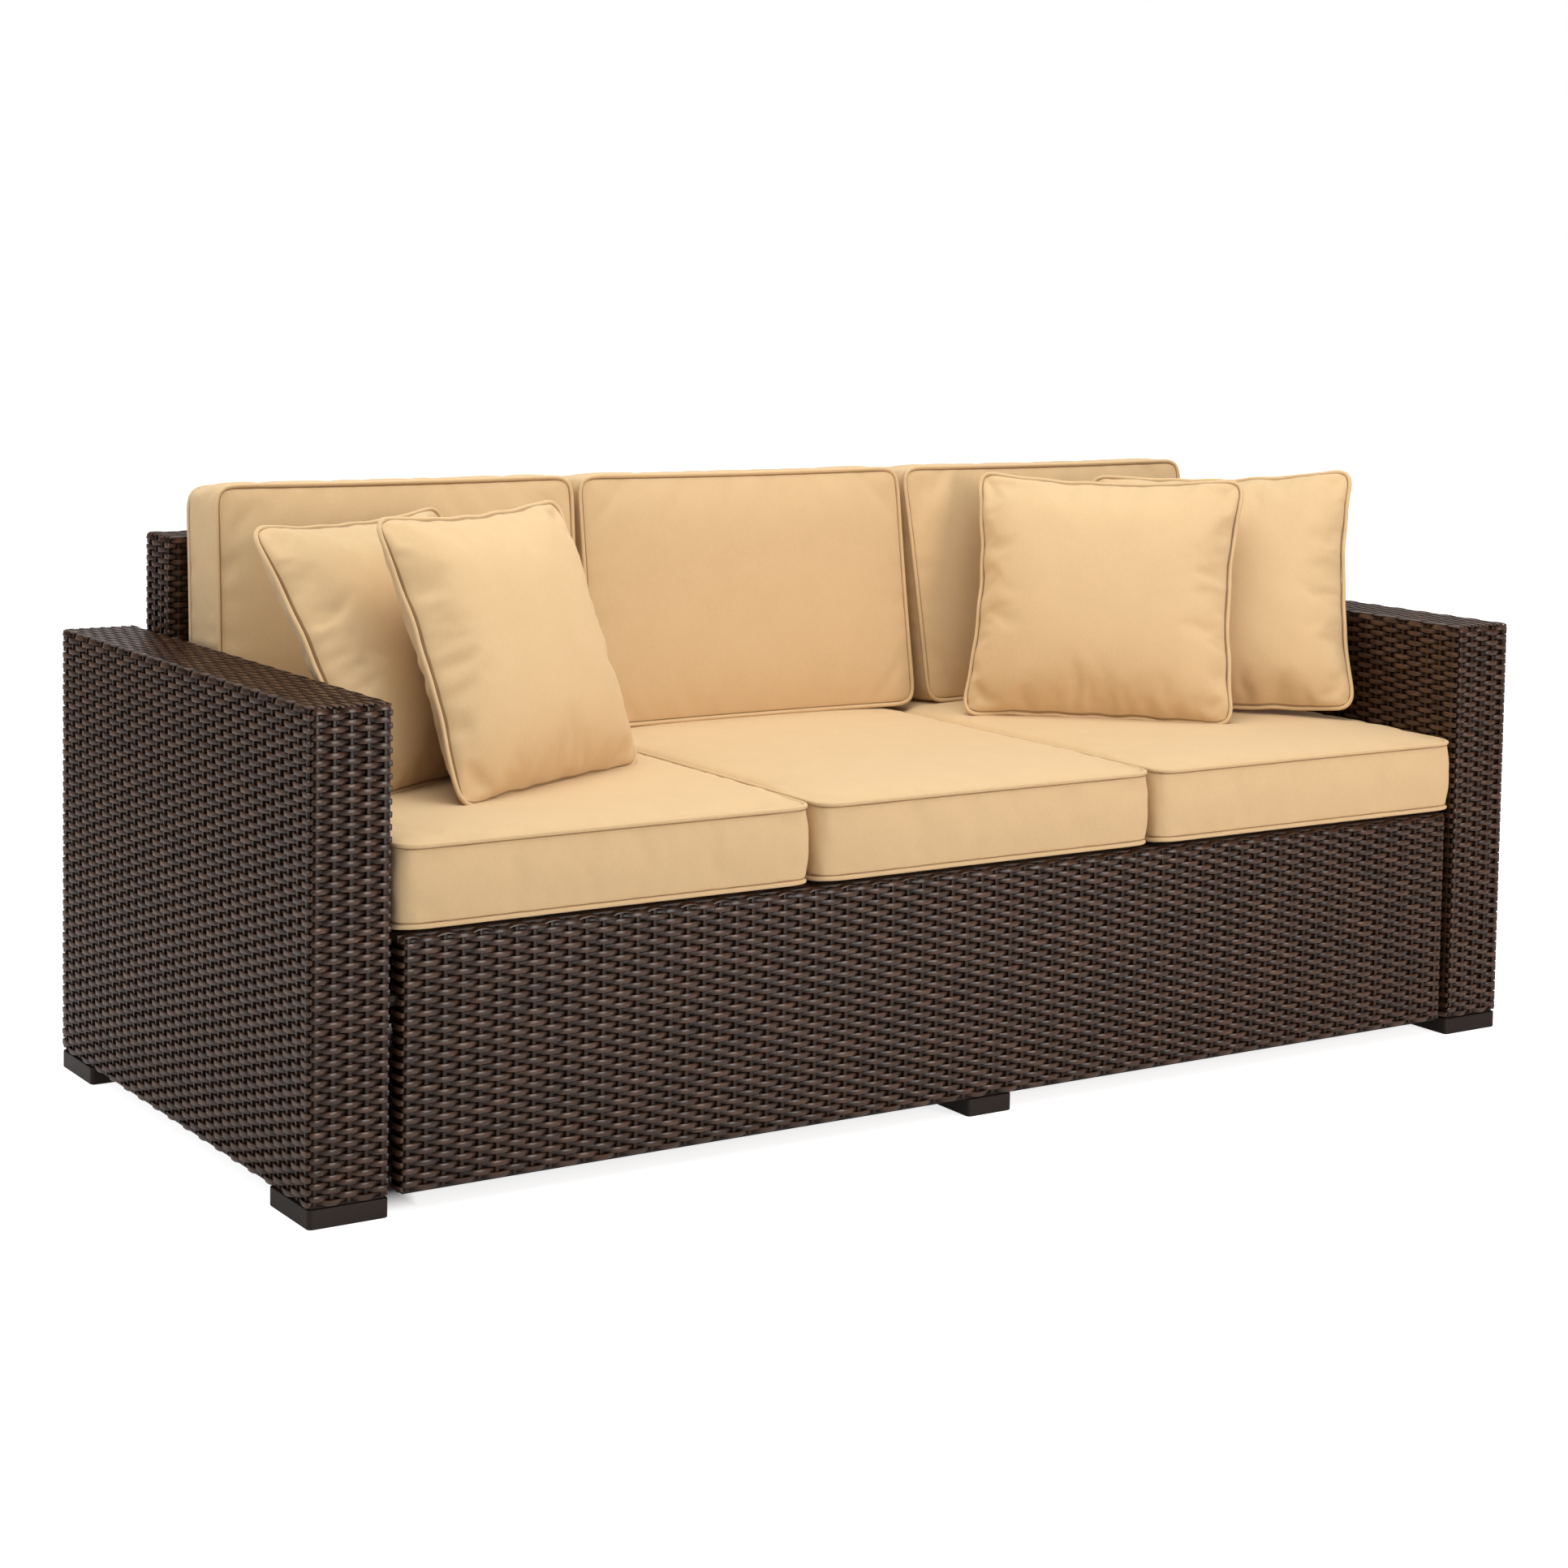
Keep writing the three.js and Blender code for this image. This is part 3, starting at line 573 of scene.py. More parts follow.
# %% [markdown]
# ## Stakes
# The stakes are thicker and stiffer, and the strands do the bending, so each stake runs straight up
# a side. On an arm it goes on over the top and down the other side.

# %% Stakes
stake_width = 0.0062
stake_thickness = 0.0026
# The height the resin reads for a stake; its painted shade darkens the stakes
stake_crest_share = 0.25
stake_steps = 12


def stake_strips(name, stakes):
    """One flat strip for each stake, which is a path and the direction of its width."""
    steps = max(len(path.points) for path, _ in stakes) - 1

    def bend(along, turn, number):
        result = np.empty((len(along), 3))
        for index, (path, sideways) in enumerate(stakes):
            mine = number == index
            points, facing, _ = path.at(along[mine])
            facing = facing / np.linalg.norm(facing, axis=1)[:, None]
            across, height = strand_section(turn[mine], stake_width, stake_thickness)
            # It lies in the middle of the weave
            sunk = points + facing * (height - strand_depth)[:, None]
            result[mine] = sunk + np.outer(across, sideways)
        return result

    return crisp(bend_strips(name, len(stakes), steps, 4, bend, stakes[0][0].length(),
                             lambda along, number: stake_crest_share))


# %% [markdown]
# ## A woven box
# All the boxes are woven the same way: rings of strands round the upright faces, more strands along
# the top, and stakes that cross them. The long direction of the box and the way to its outer face
# are given, so the same steps weave an arm, which is long from front to back, and the backrest and
# the front panel, which are long from left to right.

# %% Woven box
strand_pitch = 0.00737
corner_bend = 0.007
top_flat_share = 0.2
hidden_steps = 2


class WovenBox:
    """The measures of one woven box: its corner, its directions and its counts of stakes and rows."""

    def __init__(self, nodes, outward, forward, long_stakes, short_stakes, top_rows=None):
        corners = [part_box(node) for node in nodes]
        low = np.min([corner[0] for corner in corners], axis=0)
        high = np.max([corner[1] for corner in corners], axis=0)
        self.outward, self.forward, self.up = (np.array(v, float) for v in (outward, forward, (0, 0, 1)))
        self.low, self.high, self.size = low, high, high - low
        self.long, self.short, self.height = (
            self.size_along(direction) for direction in (self.forward, self.outward, self.up))
        # The sharp corners where the outer face starts, at the foot of the box and at its top
        self.corner = (low + high + self.outward * self.short - self.forward * self.long) / 2
        self.corner[2] = low[2]
        self.top_corner = self.corner + self.up * self.height
        self.long_stakes, self.short_stakes = long_stakes, short_stakes
        self.rows = round(self.height / strand_pitch)
        self.top_rows = top_rows or round(self.short / strand_pitch)

    def corner_at(self, outer, front):
        """An upright edge of the box: outer or inner side, front or rear end, at the foot."""
        inward = 0 if outer else self.short
        ahead = self.long if front else 0
        return self.corner - self.outward * inward + self.forward * ahead

    def side(self, start, along, facing, stakes, steps=strand_steps):
        """A path along one side, as long as the box is in that direction."""
        length = self.size_along(along)
        return side_path(start, along, facing, length, corner_bend, stakes, steps)

    def size_along(self, direction):
        return float(abs(self.size @ direction))

    def upright_sides(self, inner_steps=strand_steps):
        """The upright faces in turn: outer side, far end, inner side and near end."""
        return (
            self.side(self.corner_at(1, 0), self.forward, self.outward, self.long_stakes),
            self.side(self.corner_at(1, 1), -self.outward, self.forward, self.short_stakes),
            self.side(self.corner_at(0, 1), -self.forward, -self.outward, self.long_stakes, inner_steps),
            self.side(self.corner_at(0, 0), self.outward, -self.forward, self.short_stakes),
        )

    def upright(self):
        """From the foot to the top of the outer face, with half a bend at each end."""
        return self.side(self.corner, self.up, self.outward, self.rows)

    def across_top(self):
        return self.side(self.top_corner, -self.outward, self.up, self.top_rows)

    def along_top(self):
        return self.side(self.top_corner, self.forward, self.up, self.long_stakes)

    def stake_places(self):
        """How far along the long side the middle of each stake is."""
        path = self.along_top()
        return (path.points[strand_steps // 2::strand_steps] - path.points[0]) @ self.forward


def weave_rings(box, name, first_share, last_share, seed, inner_steps=strand_steps):
    """Rings of strands round a box, from one share of its rows to another."""
    row_span = round(box.rows * first_share), round(box.rows * last_share)
    around = 2 * (box.long_stakes + box.short_stakes)
    knots = (0, box.long_stakes, box.long_stakes + box.short_stakes, around - box.short_stakes, around)
    outer, far, inner, near = box.upright_sides(inner_steps)
    ring = outer.then(far).then(inner).then(near)
    return weave_strands(name, ring, box.upright(), box.corner, (box.outward, box.up),
                         row_span, box.rows, seed, knots=knots)


def weave_top(box, name, seed, flat_share=top_flat_share, pinch_share=top_pinch_share):
    """The top's strands run the long way, and their rows go from the outer side to the inner side."""
    return weave_strands(name, box.along_top(), box.across_top(), box.top_corner, (box.up, -box.outward),
                         (0, box.top_rows), box.top_rows, seed, flat_share, pinch_share=pinch_share)


def long_stakes_of(box, over_steps=stake_steps, has_inner=True):
    """Stakes of the long sides: up the outer side, over the top and down the inner side, if it has one."""
    stakes = []
    for place in box.stake_places():
        shift = box.forward * place
        path = box.side(box.corner + shift, box.up, box.outward, 1, stake_steps)
        path = path.then(box.side(box.top_corner + shift, -box.outward, box.up, 1, over_steps))
        if has_inner:
            inner_top = box.corner_at(0, 0) + box.up * box.height + shift
            path = path.then(box.side(inner_top, -box.up, -box.outward, 1, stake_steps))
        stakes.append((path, box.forward))
    return stakes


def end_stakes_of(box):
    """Stakes of the two short ends, from the foot to the top."""
    stakes = []
    for front, facing in ((0, -box.forward), (1, box.forward)):
        for stake in range(box.short_stakes):
            shift = -box.outward * box.short * (stake + 0.5) / box.short_stakes
            path = box.side(box.corner_at(1, front) + shift, box.up, facing, 1, stake_steps)
            stakes.append((path, box.outward))
    return stakes


def add_wicker(mesh, replaced):
    """Puts a woven mesh into the scene under its own name, in place of its plain panels."""
    return add_piece(mesh.name, mesh, resin, replaced)


# %% [markdown]
# ## Painted shade behind the weave
# Between the strands only black shows, because the inside of each box lies in shade. A thin dark
# skin just behind the weave stands in for that shade, as a sheet that stops light through the gaps.
# It is a box that stays open at the bottom, and in the front panel at the back too, given a
# thickness by the solidify operator.

# %% Inner skin
shade_skin_depth = 0.0069
shade_skin_thickness = 0.0015


def add_shade_skin(name, box, open_sides, replaced):
    """A dark shade skin inside a woven box; open_sides are directions, such as (0, 0, -1), that stay open."""
    inset = Vector((shade_skin_depth,) * 3)
    low, high = Vector(box.low) + inset, Vector(box.high) - inset
    for side in open_sides:
        # The skin reaches right to a side that stays open
        low += Vector([shade_skin_depth * min(step, 0) for step in side])
        high += Vector([shade_skin_depth * max(step, 0) for step in side])
    shade_skin = solid_box(low, high)
    away = [face for face in shade_skin.faces if any(face.normal.dot(side) > 0.9 for side in open_sides)]
    bmesh.ops.delete(shade_skin, geom=away, context="FACES")
    bmesh.ops.solidify(shade_skin, geom=shade_skin.faces[:], thickness=shade_skin_thickness)
    bmesh.ops.recalc_face_normals(shade_skin, faces=shade_skin.faces)
    # The skin is painted shade, in the dark frame coating
    return add_piece(name, into_mesh(shade_skin, name), coated_steel, replaced, smooth=False)


# %% [markdown]
# ## The arms
# Each arm has 78 strands up its height and 32 stakes along its side. Its strands are made as three
# meshes, so that no piece is too heavy: the lower and upper rings, and the top.

# %% Weave the arms
arm_side_stakes, arm_end_stakes = 32, 5
arm_lower_share = 0.48


def weave_arm(side, outward, seed):
    panels = [f"arm_{side}_wicker_{panel}" for panel in ("outer", "inner", "front", "rear")]
    top_panel = f"arm_{side}_wicker_top"
    box = WovenBox(panels + [top_panel], outward, (0, 1, 0), arm_side_stakes, arm_end_stakes)
    add_wicker(weave_rings(box, f"arm_{side}_strands_lower", 0, arm_lower_share, seed, hidden_steps), panels)
    add_wicker(weave_rings(box, f"arm_{side}_strands_upper", arm_lower_share, 1, seed), panels)
    add_wicker(weave_top(box, f"arm_{side}_top_strands", seed + 1), [top_panel])
    add_wicker(stake_strips(f"arm_{side}_stakes", long_stakes_of(box) + end_stakes_of(box)), panels)
    add_shade_skin(f"arm_{side}_skin", box, [(0, 0, -1)], panels)
    print(side, "arm:", box.rows, "rows,", box.top_rows, "on the top")


weave_arm("left", (-1, 0, 0), seed=11)
weave_arm("right", (1, 0, 0), seed=12)

# %% [markdown]
# ## The backrest
# The backrest is the same kind of box lying across. Its long outer side is the rear. The front is
# hidden by the cushions, so its strands have fewer steps there.

# %% Weave the backrest
back_stakes, back_end_stakes = 71, 4
back_cut_shares = (0, 0.34, 0.67, 1)


def weave_backrest(seed):
    panels = ["back_wicker_front", "back_wicker_rear"]
    box = WovenBox(panels + ["back_wicker_top"], (0, 1, 0), (-1, 0, 0), back_stakes, back_end_stakes)
    for number, (first, last) in enumerate(zip(back_cut_shares, back_cut_shares[1:]), 1):
        add_wicker(weave_rings(box, f"back_strands_{number}", first, last, seed, hidden_steps), panels)
    add_wicker(weave_top(box, "back_top_strands", seed + 1), ["back_wicker_top"])
    add_wicker(stake_strips("back_stakes", long_stakes_of(box) + end_stakes_of(box)), panels)
    add_shade_skin("back_shade_skin", box, [(0, 0, -1)], panels)
    print("backrest:", box.rows, "rows,", box.top_rows, "on the top")


weave_backrest(seed=21)

# %% [markdown]
# ## The front panel
# Below the seat cushions a woven panel closes the front. Its strands turn back a little at both
# ends and its stakes fold over its top edge, under the cushions.

# %% Weave the front panel
panel_top_rows = 4
panel_end_stakes = 1
panel_over_steps = 6


def weave_front_panel(seed):
    panel = ["apron_wicker"]
    box = WovenBox(panel, (0, -1, 0), (1, 0, 0), back_stakes, panel_end_stakes, panel_top_rows)
    face, right_turn, _, left_turn = box.upright_sides()
    path = left_turn.then(face).then(right_turn)
    knots = (panel_end_stakes, panel_end_stakes + back_stakes)
    add_wicker(weave_strands("front_panel_strands", path, box.upright(), box.corner, (box.outward, box.up),
                             (0, box.rows), box.rows, seed, knots=knots), panel)
    add_wicker(weave_top(box, "front_panel_top_strands", seed + 1, 1, ring_pinch_share), panel)
    add_wicker(stake_strips("front_panel_stakes", long_stakes_of(box, panel_over_steps, False)), panel)
    add_shade_skin("front_panel_shade_skin", box, [(0, 0, -1), (0, 1, 0)], panel)
    print("front panel:", box.rows, "rows")


weave_front_panel(seed=31)

# %% [markdown]
# ## Feet
# Each foot is a solid moulded block with rounded upright edges and softened rims. A cube, scaled to
# the size of the foot in the construction model, gets both roundings from the bevel operator.

# %% Feet
foot_corner = 0.006
foot_rim = 0.0012


def add_foot(node):
    low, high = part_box(node)
    foot_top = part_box("arm_left_wicker_outer")[0].z
    block = solid_box(low, Vector((high.x, high.y, foot_top)))
    half_height = (foot_top - low.z) / 2
    upright = [edge for edge in block.edges if abs(edge.verts[0].co.z - edge.verts[1].co.z) > half_height]
    bevel = {"affect": "EDGES", "profile": 0.5, "material": -1}
    bmesh.ops.bevel(block, geom=upright, offset=foot_corner, segments=5, **bevel)
    rims = [edge for edge in block.edges if abs(edge.calc_face_angle(0) - math.pi / 2) < 0.01
            and abs(edge.verts[0].co.z - edge.verts[1].co.z) < foot_rim]
    bmesh.ops.bevel(block, geom=rims, offset=foot_rim, segments=2, **bevel)
    mesh = into_mesh(block, node)
    piece = add_piece(node.replace("foot", "moulded_foot"), mesh, moulded_foot, [node], smooth=False)
    mesh.shade_smooth()
    piece.modifiers.new("crisp faces", "WEIGHTED_NORMAL")
    return piece


feet = [add_foot(node) for node in sorted(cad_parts) if node.startswith("foot_")]
print("feet:", len(feet))

# %% [markdown]
# ## Cushion blanks
# A cover starts as a box whose faces are a grid, fine enough to bend and swell. The corners of its
# outline are rounded by sliding each vertex of a corner square onto the matching place of a quarter
# disc. A float layer remembers which vertices lie on a seam, because the piping follows them later.

# %% Blank boxes and rounded outlines
# Points this close touch, and the tiny length keeps a division by zero away
touching, tiny = 1e-6, 1e-12


def blank_box(size, cells):
    """A box round the origin with gridded faces, its seam and painted seam shade layers, and its points."""
    half = Vector(size) / 2
    blank = solid_box(-half, half)
    for axis, count in enumerate(cells):
        along = [edge for edge in blank.edges
                 if abs((edge.verts[0].co - edge.verts[1].co)[axis]) > touching]
        if count > 1:
            bmesh.ops.subdivide_edges(blank, edges=along, cuts=count - 1, use_grid_fill=True)
    seam, seam_shade = (blank.verts.layers.float.new(title) for title in ("seam", "seam_shade"))
    return blank, seam, seam_shade, np.array([vertex.co for vertex in blank.verts])


def round_outline(x, y, half_x, half_y, radius):
    """Slides the points of each corner square onto a quarter disc of the same radius."""
    past_x, past_y = np.abs(x) - (half_x - radius), np.abs(y) - (half_y - radius)
    in_corner = (past_x > 0) & (past_y > 0)
    far = np.maximum(past_x, past_y)
    reach = np.hypot(past_x, past_y) + tiny
    new_x = np.where(in_corner, half_x - radius + past_x * far / reach, np.abs(x))
    new_y = np.where(in_corner, half_y - radius + past_y * far / reach, np.abs(y))
    return np.sign(x) * new_x, np.sign(y) * new_y


def draw_in(x, y, half_x, half_y, sides, top, bottom):
    """Pulls the two sides, the top and the bottom in between the corners."""
    u, v = x / half_x, y / half_y
    ends = np.where(v > 0, top, bottom)
    return x - np.sign(x) * sides * (1 - v * v) * u ** 4, y - np.sign(y) * ends * (1 - u * u) * v ** 4


# %% [markdown]
# ## Box cushions
# The seat and back cushions are foam slabs in boxed covers: a top and a bottom panel joined by a
# strip, with piping in both seams. The foam pushes the panels out in a flat-topped crown, and the
# strip bulges between its two seams. Where seat cushions press on each other their tops rise to the
# seam, so the split between them stays a soft valley.

# %% Box cushion cover
cushion_cell = 0.011
seat_corner, back_corner = 0.027, 0.021
boxing_bulge = 0.0035
side_draw = 0.002
crown_power = 4
pressed_share = 0.93


def crown(u, v):
    return np.maximum(0, 1 - np.abs(u) ** crown_power) * np.maximum(0, 1 - np.abs(v) ** crown_power)


def box_cover(size_x, size_y, corner, low_seam, high_seam, top_crown, side_lift, full_share):
    """A boxed cover that lies flat on z = 0. full_share says how far it is already filled."""
    half_x, half_y = size_x / 2 - boxing_bulge, size_y / 2 - boxing_bulge
    height = high_seam - low_seam
    cells = [max(2, round(length / cushion_cell)) for length in (size_x, size_y, height)]
    blank, seam, seam_shade, points = blank_box((2 * half_x, 2 * half_y, height), cells)
    x, y, z = points.T
    on_rim = (np.abs(np.abs(x) - half_x) < touching) | (np.abs(np.abs(y) - half_y) < touching)
    on_top, on_bottom = z > height / 2 - touching, z < -height / 2 + touching
    u, v = x / half_x, y / half_y
    pressed = (np.abs(u) > pressed_share) & (np.abs(v) < pressed_share) & (side_lift > 0)
    # The seam shade layer marks the line of painted shade, left off where the piping sinks between cushions
    for vertex, rim, top, bottom, hidden in zip(blank.verts, on_rim, on_top, on_bottom, pressed):
        vertex[seam] = 1.0 if rim and top else 2.0 if rim and bottom else 0.0
        vertex[seam_shade] = float(vertex[seam] > 0 and not hidden)
    x, y = round_outline(x, y, half_x, half_y, corner)
    x, y = draw_in(x, y, half_x, half_y, side_draw, side_draw, side_draw)
    bulge = boxing_bulge * full_share * np.cos(np.pi * z / height) * on_rim
    outline = np.hypot(u ** 8, v ** 8) + tiny
    x = x + np.sign(x) * bulge * np.abs(u) ** 8 / outline
    y = y + np.sign(y) * bulge * np.abs(v) ** 8 / outline
    lift = (top_crown * full_share * crown(u, v) + side_lift * np.abs(u) ** 8 * (1 - v ** 8)) * on_top
    sag = low_seam * full_share * np.minimum(1, 3 * crown(u, v)) * on_bottom
    points = np.stack([x, y, z + height / 2 + low_seam + lift - sag], axis=1)
    for vertex, point in zip(blank.verts, points):
        vertex.co = point
    return blank


# %% [markdown]
# ## Throw pillows
# A throw pillow is two square panels sewn together round a soft filling. It is thick in the middle
# and runs out to a knife edge, its corners stay square and its sides draw in between them. The seam
# is never quite straight, and the cloth is gathered a little along it in short creases.

# %% Pillow cover
pillow_side = 0.385
pillow_stretch = (1.045, 0.965)
pillow_thickness = 0.120
pillow_corner = 0.028
pillow_draws = (0.017, 0.013, 0.002)
pillow_cell = 0.0080
pillow_power = 2.4
seam_waver = 0.0009
crease_count, crease_depth, crease_reach = 41, 0.0016, 0.020


def ripple(angle, dice):
    """A smooth random wave round the pillow, about 1 high."""
    waves = [dice.normal() * np.cos(number * angle + dice.uniform(0, 2 * np.pi)) for number in range(5, 24)]
    return sum(waves) / math.sqrt(len(waves) / 2)


def pillow_cover(full_share, seed):
    """Two panels in the XY plane, joined at a rim with the seam value 1."""
    half_x, half_y = (pillow_side * stretch / 2 for stretch in pillow_stretch)
    cells = round(pillow_side / pillow_cell)
    blank, seam, seam_shade, points = blank_box((2 * half_x, 2 * half_y, pillow_thickness), (cells, cells, 1))
    x, y, z = points.T
    u, v = x / half_x, y / half_y
    inward = 1 - np.maximum(np.abs(u), np.abs(v))
    swell = np.sqrt(np.maximum(0, (1 - np.abs(u) ** pillow_power) * (1 - np.abs(v) ** pillow_power)))
    dice = np.random.default_rng(seed)
    angle = np.arctan2(v, u)
    near_seam = np.exp(-inward * half_x / crease_reach)
    crease = np.cos(crease_count * angle + 2 * ripple(angle, dice)) * (0.6 + 0.4 * ripple(angle, dice))
    x, y = round_outline(x, y, half_x, half_y, pillow_corner)
    x, y = draw_in(x, y, half_x, half_y, *pillow_draws)
    waver = 1 + seam_waver / half_x * near_seam * ripple(angle, dice)
    lift = crease_depth * crease * near_seam * np.sign(z) * (inward > touching)
    lift = lift + seam_waver * near_seam * ripple(angle, dice)
    points = np.stack([x * waver, y * waver, z * swell * full_share + lift], axis=1)
    for vertex, point, rim in zip(blank.verts, points, inward < touching):
        vertex.co = point
        vertex[seam] = vertex[seam_shade] = float(rim)
    bmesh.ops.remove_doubles(blank, verts=blank.verts, dist=merge_distance)
    return blank


# %% [markdown]
# ## Filling the covers
# Cloth simulation with pressure inside does what the filling does: it swells the cover, and spare
# cloth puckers along the seams. All covers are blown up at once, away from the sofa. The swelling is
# then capped, because foam stops it where air would not, and the seams are held where they belong.

# %% Fill covers with cloth simulation
swell_frames = 20
cloth_options = {
    "quality": 4, "mass": 0.3, "tension_stiffness": 20, "compression_stiffness": 20,
    "shear_stiffness": 8, "bending_stiffness": 0.6, "use_pressure": True, "vertex_group_mass": "held",
}


def fill_covers(covers):
    """Each cover is (object, pressure, cap, spare cloth share). Changes their meshes."""
    scene = bpy.context.scene
    before = {}
    for cover, pressure, cap, spare in covers:
        before[cover.name] = mesh_points(cover.data)
        held = cover.vertex_groups.new(name="held")
        seam = seam_values(cover.data)
        held.add([int(i) for i in np.nonzero(seam > 0.5)[0]], 1.0, "REPLACE")
        cloth = cover.modifiers.new("filling", "CLOTH")
        settings = cloth.settings
        for option, value in cloth_options.items():
            setattr(settings, option, value)
        settings.uniform_pressure_force = pressure
        settings.shrink_min = -spare
        settings.effector_weights.gravity = 0
        cloth.collision_settings.use_collision = False
        cloth.collision_settings.use_self_collision = False
        cloth.point_cache.frame_start, cloth.point_cache.frame_end = 1, swell_frames
    for number in range(1, swell_frames + 1):
        scene.frame_set(number)
    graph = bpy.context.evaluated_depsgraph_get()
    swollen = {cover.name: mesh_points(cover.evaluated_get(graph).data) for cover, *_ in covers}
    for cover, pressure, cap, spare in covers:
        move = swollen[cover.name] - before[cover.name]
        distance = np.linalg.norm(move, axis=1)[:, None] + tiny
        capped = before[cover.name] + move / distance * cap * np.tanh(distance / cap)
        # Neighbours press each cushion flat, so it gets no wider
        sides = before[cover.name][:, 0]
        capped[:, 0] = np.clip(capped[:, 0], sides.min(), sides.max())
        cover.modifiers.clear()
        cover.vertex_groups.clear()
        set_points(cover.data, capped)
        print(cover.name, "swelled by up to", round(float(distance.max()) * 1000, 1), "mm")
    scene.frame_set(1)


def seam_values(mesh):
    values = np.empty(len(mesh.vertices), np.float32)
    mesh.attributes["seam"].data.foreach_get("value", values)
    return values


# %% [markdown]
# ## Piping
# Piping is a cord in a sleeve of the same cloth, caught in the seam. It is a closed strip like the
# strands, bent round the seam's own vertices after the cover is filled, so that it follows every
# little wave of the seam.

# %% Piping round a seam
piping_radius = 0.0031
piping_sides = 8
piping_sink = 0.0045
sink_start_share, sink_reach_share = 0.96, 0.03


def seam_loop(points, middle, normal):
    """The seam's points in order round the middle, as seen against the normal."""
    normal = np.array(normal, float) / np.linalg.norm(normal)
    side = np.cross(normal, [0.3, 0.5, 0.8])
    side /= np.linalg.norm(side)
    other = np.cross(normal, side)
    spokes = points - middle
    order = np.argsort(np.arctan2(spokes @ other, spokes @ side))
    return points[order]


def smooth_loop(loop, rounds):
    for _ in range(rounds):
        loop = (np.roll(loop, 1, axis=0) + 2 * loop + np.roll(loop, -1, axis=0)) / 4
    return loop


def press_down(loop, middle, depth):
    """Sinks the piping of a lying cushion between its neighbours, but not near its corners."""
    away = np.abs(loop[:, :2] - middle[:2])
    across, along = (away / away.max(axis=0)).T
    loop = loop.copy()
    near_side = np.clip((across - sink_start_share) / sink_reach_share, 0, 1)
    loop[:, 2] -= depth * near_side * (1 - along ** 8)
    return loop


def piping_mesh(name, loop, middle):
    """A round tube along a closed loop of points."""
    count = len(loop)
    ahead = np.roll(loop, -1, axis=0) - np.roll(loop, 1, axis=0)
    ahead /= np.linalg.norm(ahead, axis=1)[:, None]
    outward = loop - middle
    outward -= (outward * ahead).sum(axis=1)[:, None] * ahead
    outward /= np.linalg.norm(outward, axis=1)[:, None]
    across = np.cross(ahead, outward)

    def bend(along, turn, number):
        step = np.rint(along * count).astype(int) % count
        angle = 2 * np.pi * np.rint(turn * piping_sides) / piping_sides
        return (loop[step] + piping_radius * (
            np.cos(angle)[:, None] * outward[step] + np.sin(angle)[:, None] * across[step]))

    return bend_strips(name, 1, count, piping_sides, bend, 1.0)


# %% [markdown]
# ## Where the cushions go
# Every cushion's place comes from the construction model. The seat cushions lie square. A back
# cushion stands on its edge, leans on the backrest, and its foot may stand a little to one side. A
# pillow stands on its lower edge, turned and leaning back.

# %% Places of the cushions
seat_low_seam, seat_high_seam, seat_crown, seat_side_lift = 0.011, 0.105, 0.013, 0.005
back_low_seam, back_high_seam, back_crown = 0.010, 0.106, 0.012
back_cushion_height = 0.369
back_cover_height = 0.364
back_lean = math.radians(5)
back_gap = 0.0003
arm_inner_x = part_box("arm_right_wicker_inner")[0].x
backrest_front_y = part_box("back_wicker_front")[0].y
backrest_top_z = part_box("back_wicker_top")[1].z
seat_foot_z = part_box("seat_deck_weave")[1].z + seat_high_seam
seat_names = ("left", "middle", "right")
seat_boxes = [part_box(f"seat_cushion_{name}") for name in seat_names]
left_split = (seat_boxes[0][1].x + seat_boxes[1][0].x) / 2
right_split = (seat_boxes[1][1].x + seat_boxes[2][0].x) / 2
seat_edges = (-arm_inner_x, left_split, right_split, arm_inner_x)

# The same shares as in the construction model: top corners by the way to an arm, feet by height
back_cushion_shares = {
    "left": (0.0355, -0.0095, -0.019, 0.016),
    "middle": (-0.0047, 0.0047, 0.027, 0.054),
    "right": (0.0095, -0.0059, 0.1, 0.0),
}
# Side, distance from the arm and from the backrest in pillow sides; turn, lean and roll in degrees
pillow_place_shares = {
    "left_front": (-1, 0.852, 1.304, 27, 21.5, 0),
    "left_rear": (-1, 0.616, 1.073, 28, 28.5, 0),
    "right_front": (1, 1.026, 0.997, -45, 19.5, 0),
    "right_rear": (1, 0.508, 1.073, -46, 21, 3),
}


def lower_to(points, node):
    """Slides a soft piece up or down until it stands as high as its plain solid."""
    points[:, 2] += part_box(node)[0].z - points[:, 2].min()
    return points


def turned(points, angle, axis):
    return points @ np.array(Matrix.Rotation(angle, 3, axis)).T


def place_seat_cushion(points, name):
    low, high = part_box(f"seat_cushion_{name}")
    middle = np.array([(low.x + high.x) / 2, (low.y + high.y) / 2, low.z])
    return points + middle


def place_back_cushion(points, name):
    number = seat_names.index(name)
    top_left, top_right, foot_left, foot_right = back_cushion_shares[name]
    left_x = seat_edges[number] + top_left * arm_inner_x
    right_x = seat_edges[number + 1] + top_right * arm_inner_x
    points = turned(points, math.pi / 2, "X")
    points += [(left_x + right_x) / 2, 0, back_cushion_height / 2]
    share = (points[:, 0] - left_x) / (right_x - left_x)
    rack = foot_left + (foot_right - foot_left) * share
    points[:, 0] += rack * (back_cushion_height - points[:, 2])
    points = turned(points, -back_lean, "X")
    points[:, 1] += backrest_front_y - back_gap - math.tan(back_lean) * (backrest_top_z - seat_foot_z)
    return lower_to(points, f"back_cushion_{name}")


def place_pillow(points, name):
    side, from_arm, from_back, turn, lean, roll = pillow_place_shares[name]
    points = turned(points, math.radians(roll), "Z") + [0, pillow_side / 2, 0]
    points = turned(points, math.pi / 2 - math.radians(lean), "X")
    points = turned(points, math.radians(turn), "Z")
    points += [side * (arm_inner_x - from_arm * pillow_side), backrest_front_y - from_back * pillow_side, 0]
    return lower_to(points, f"throw_pillow_{name}")


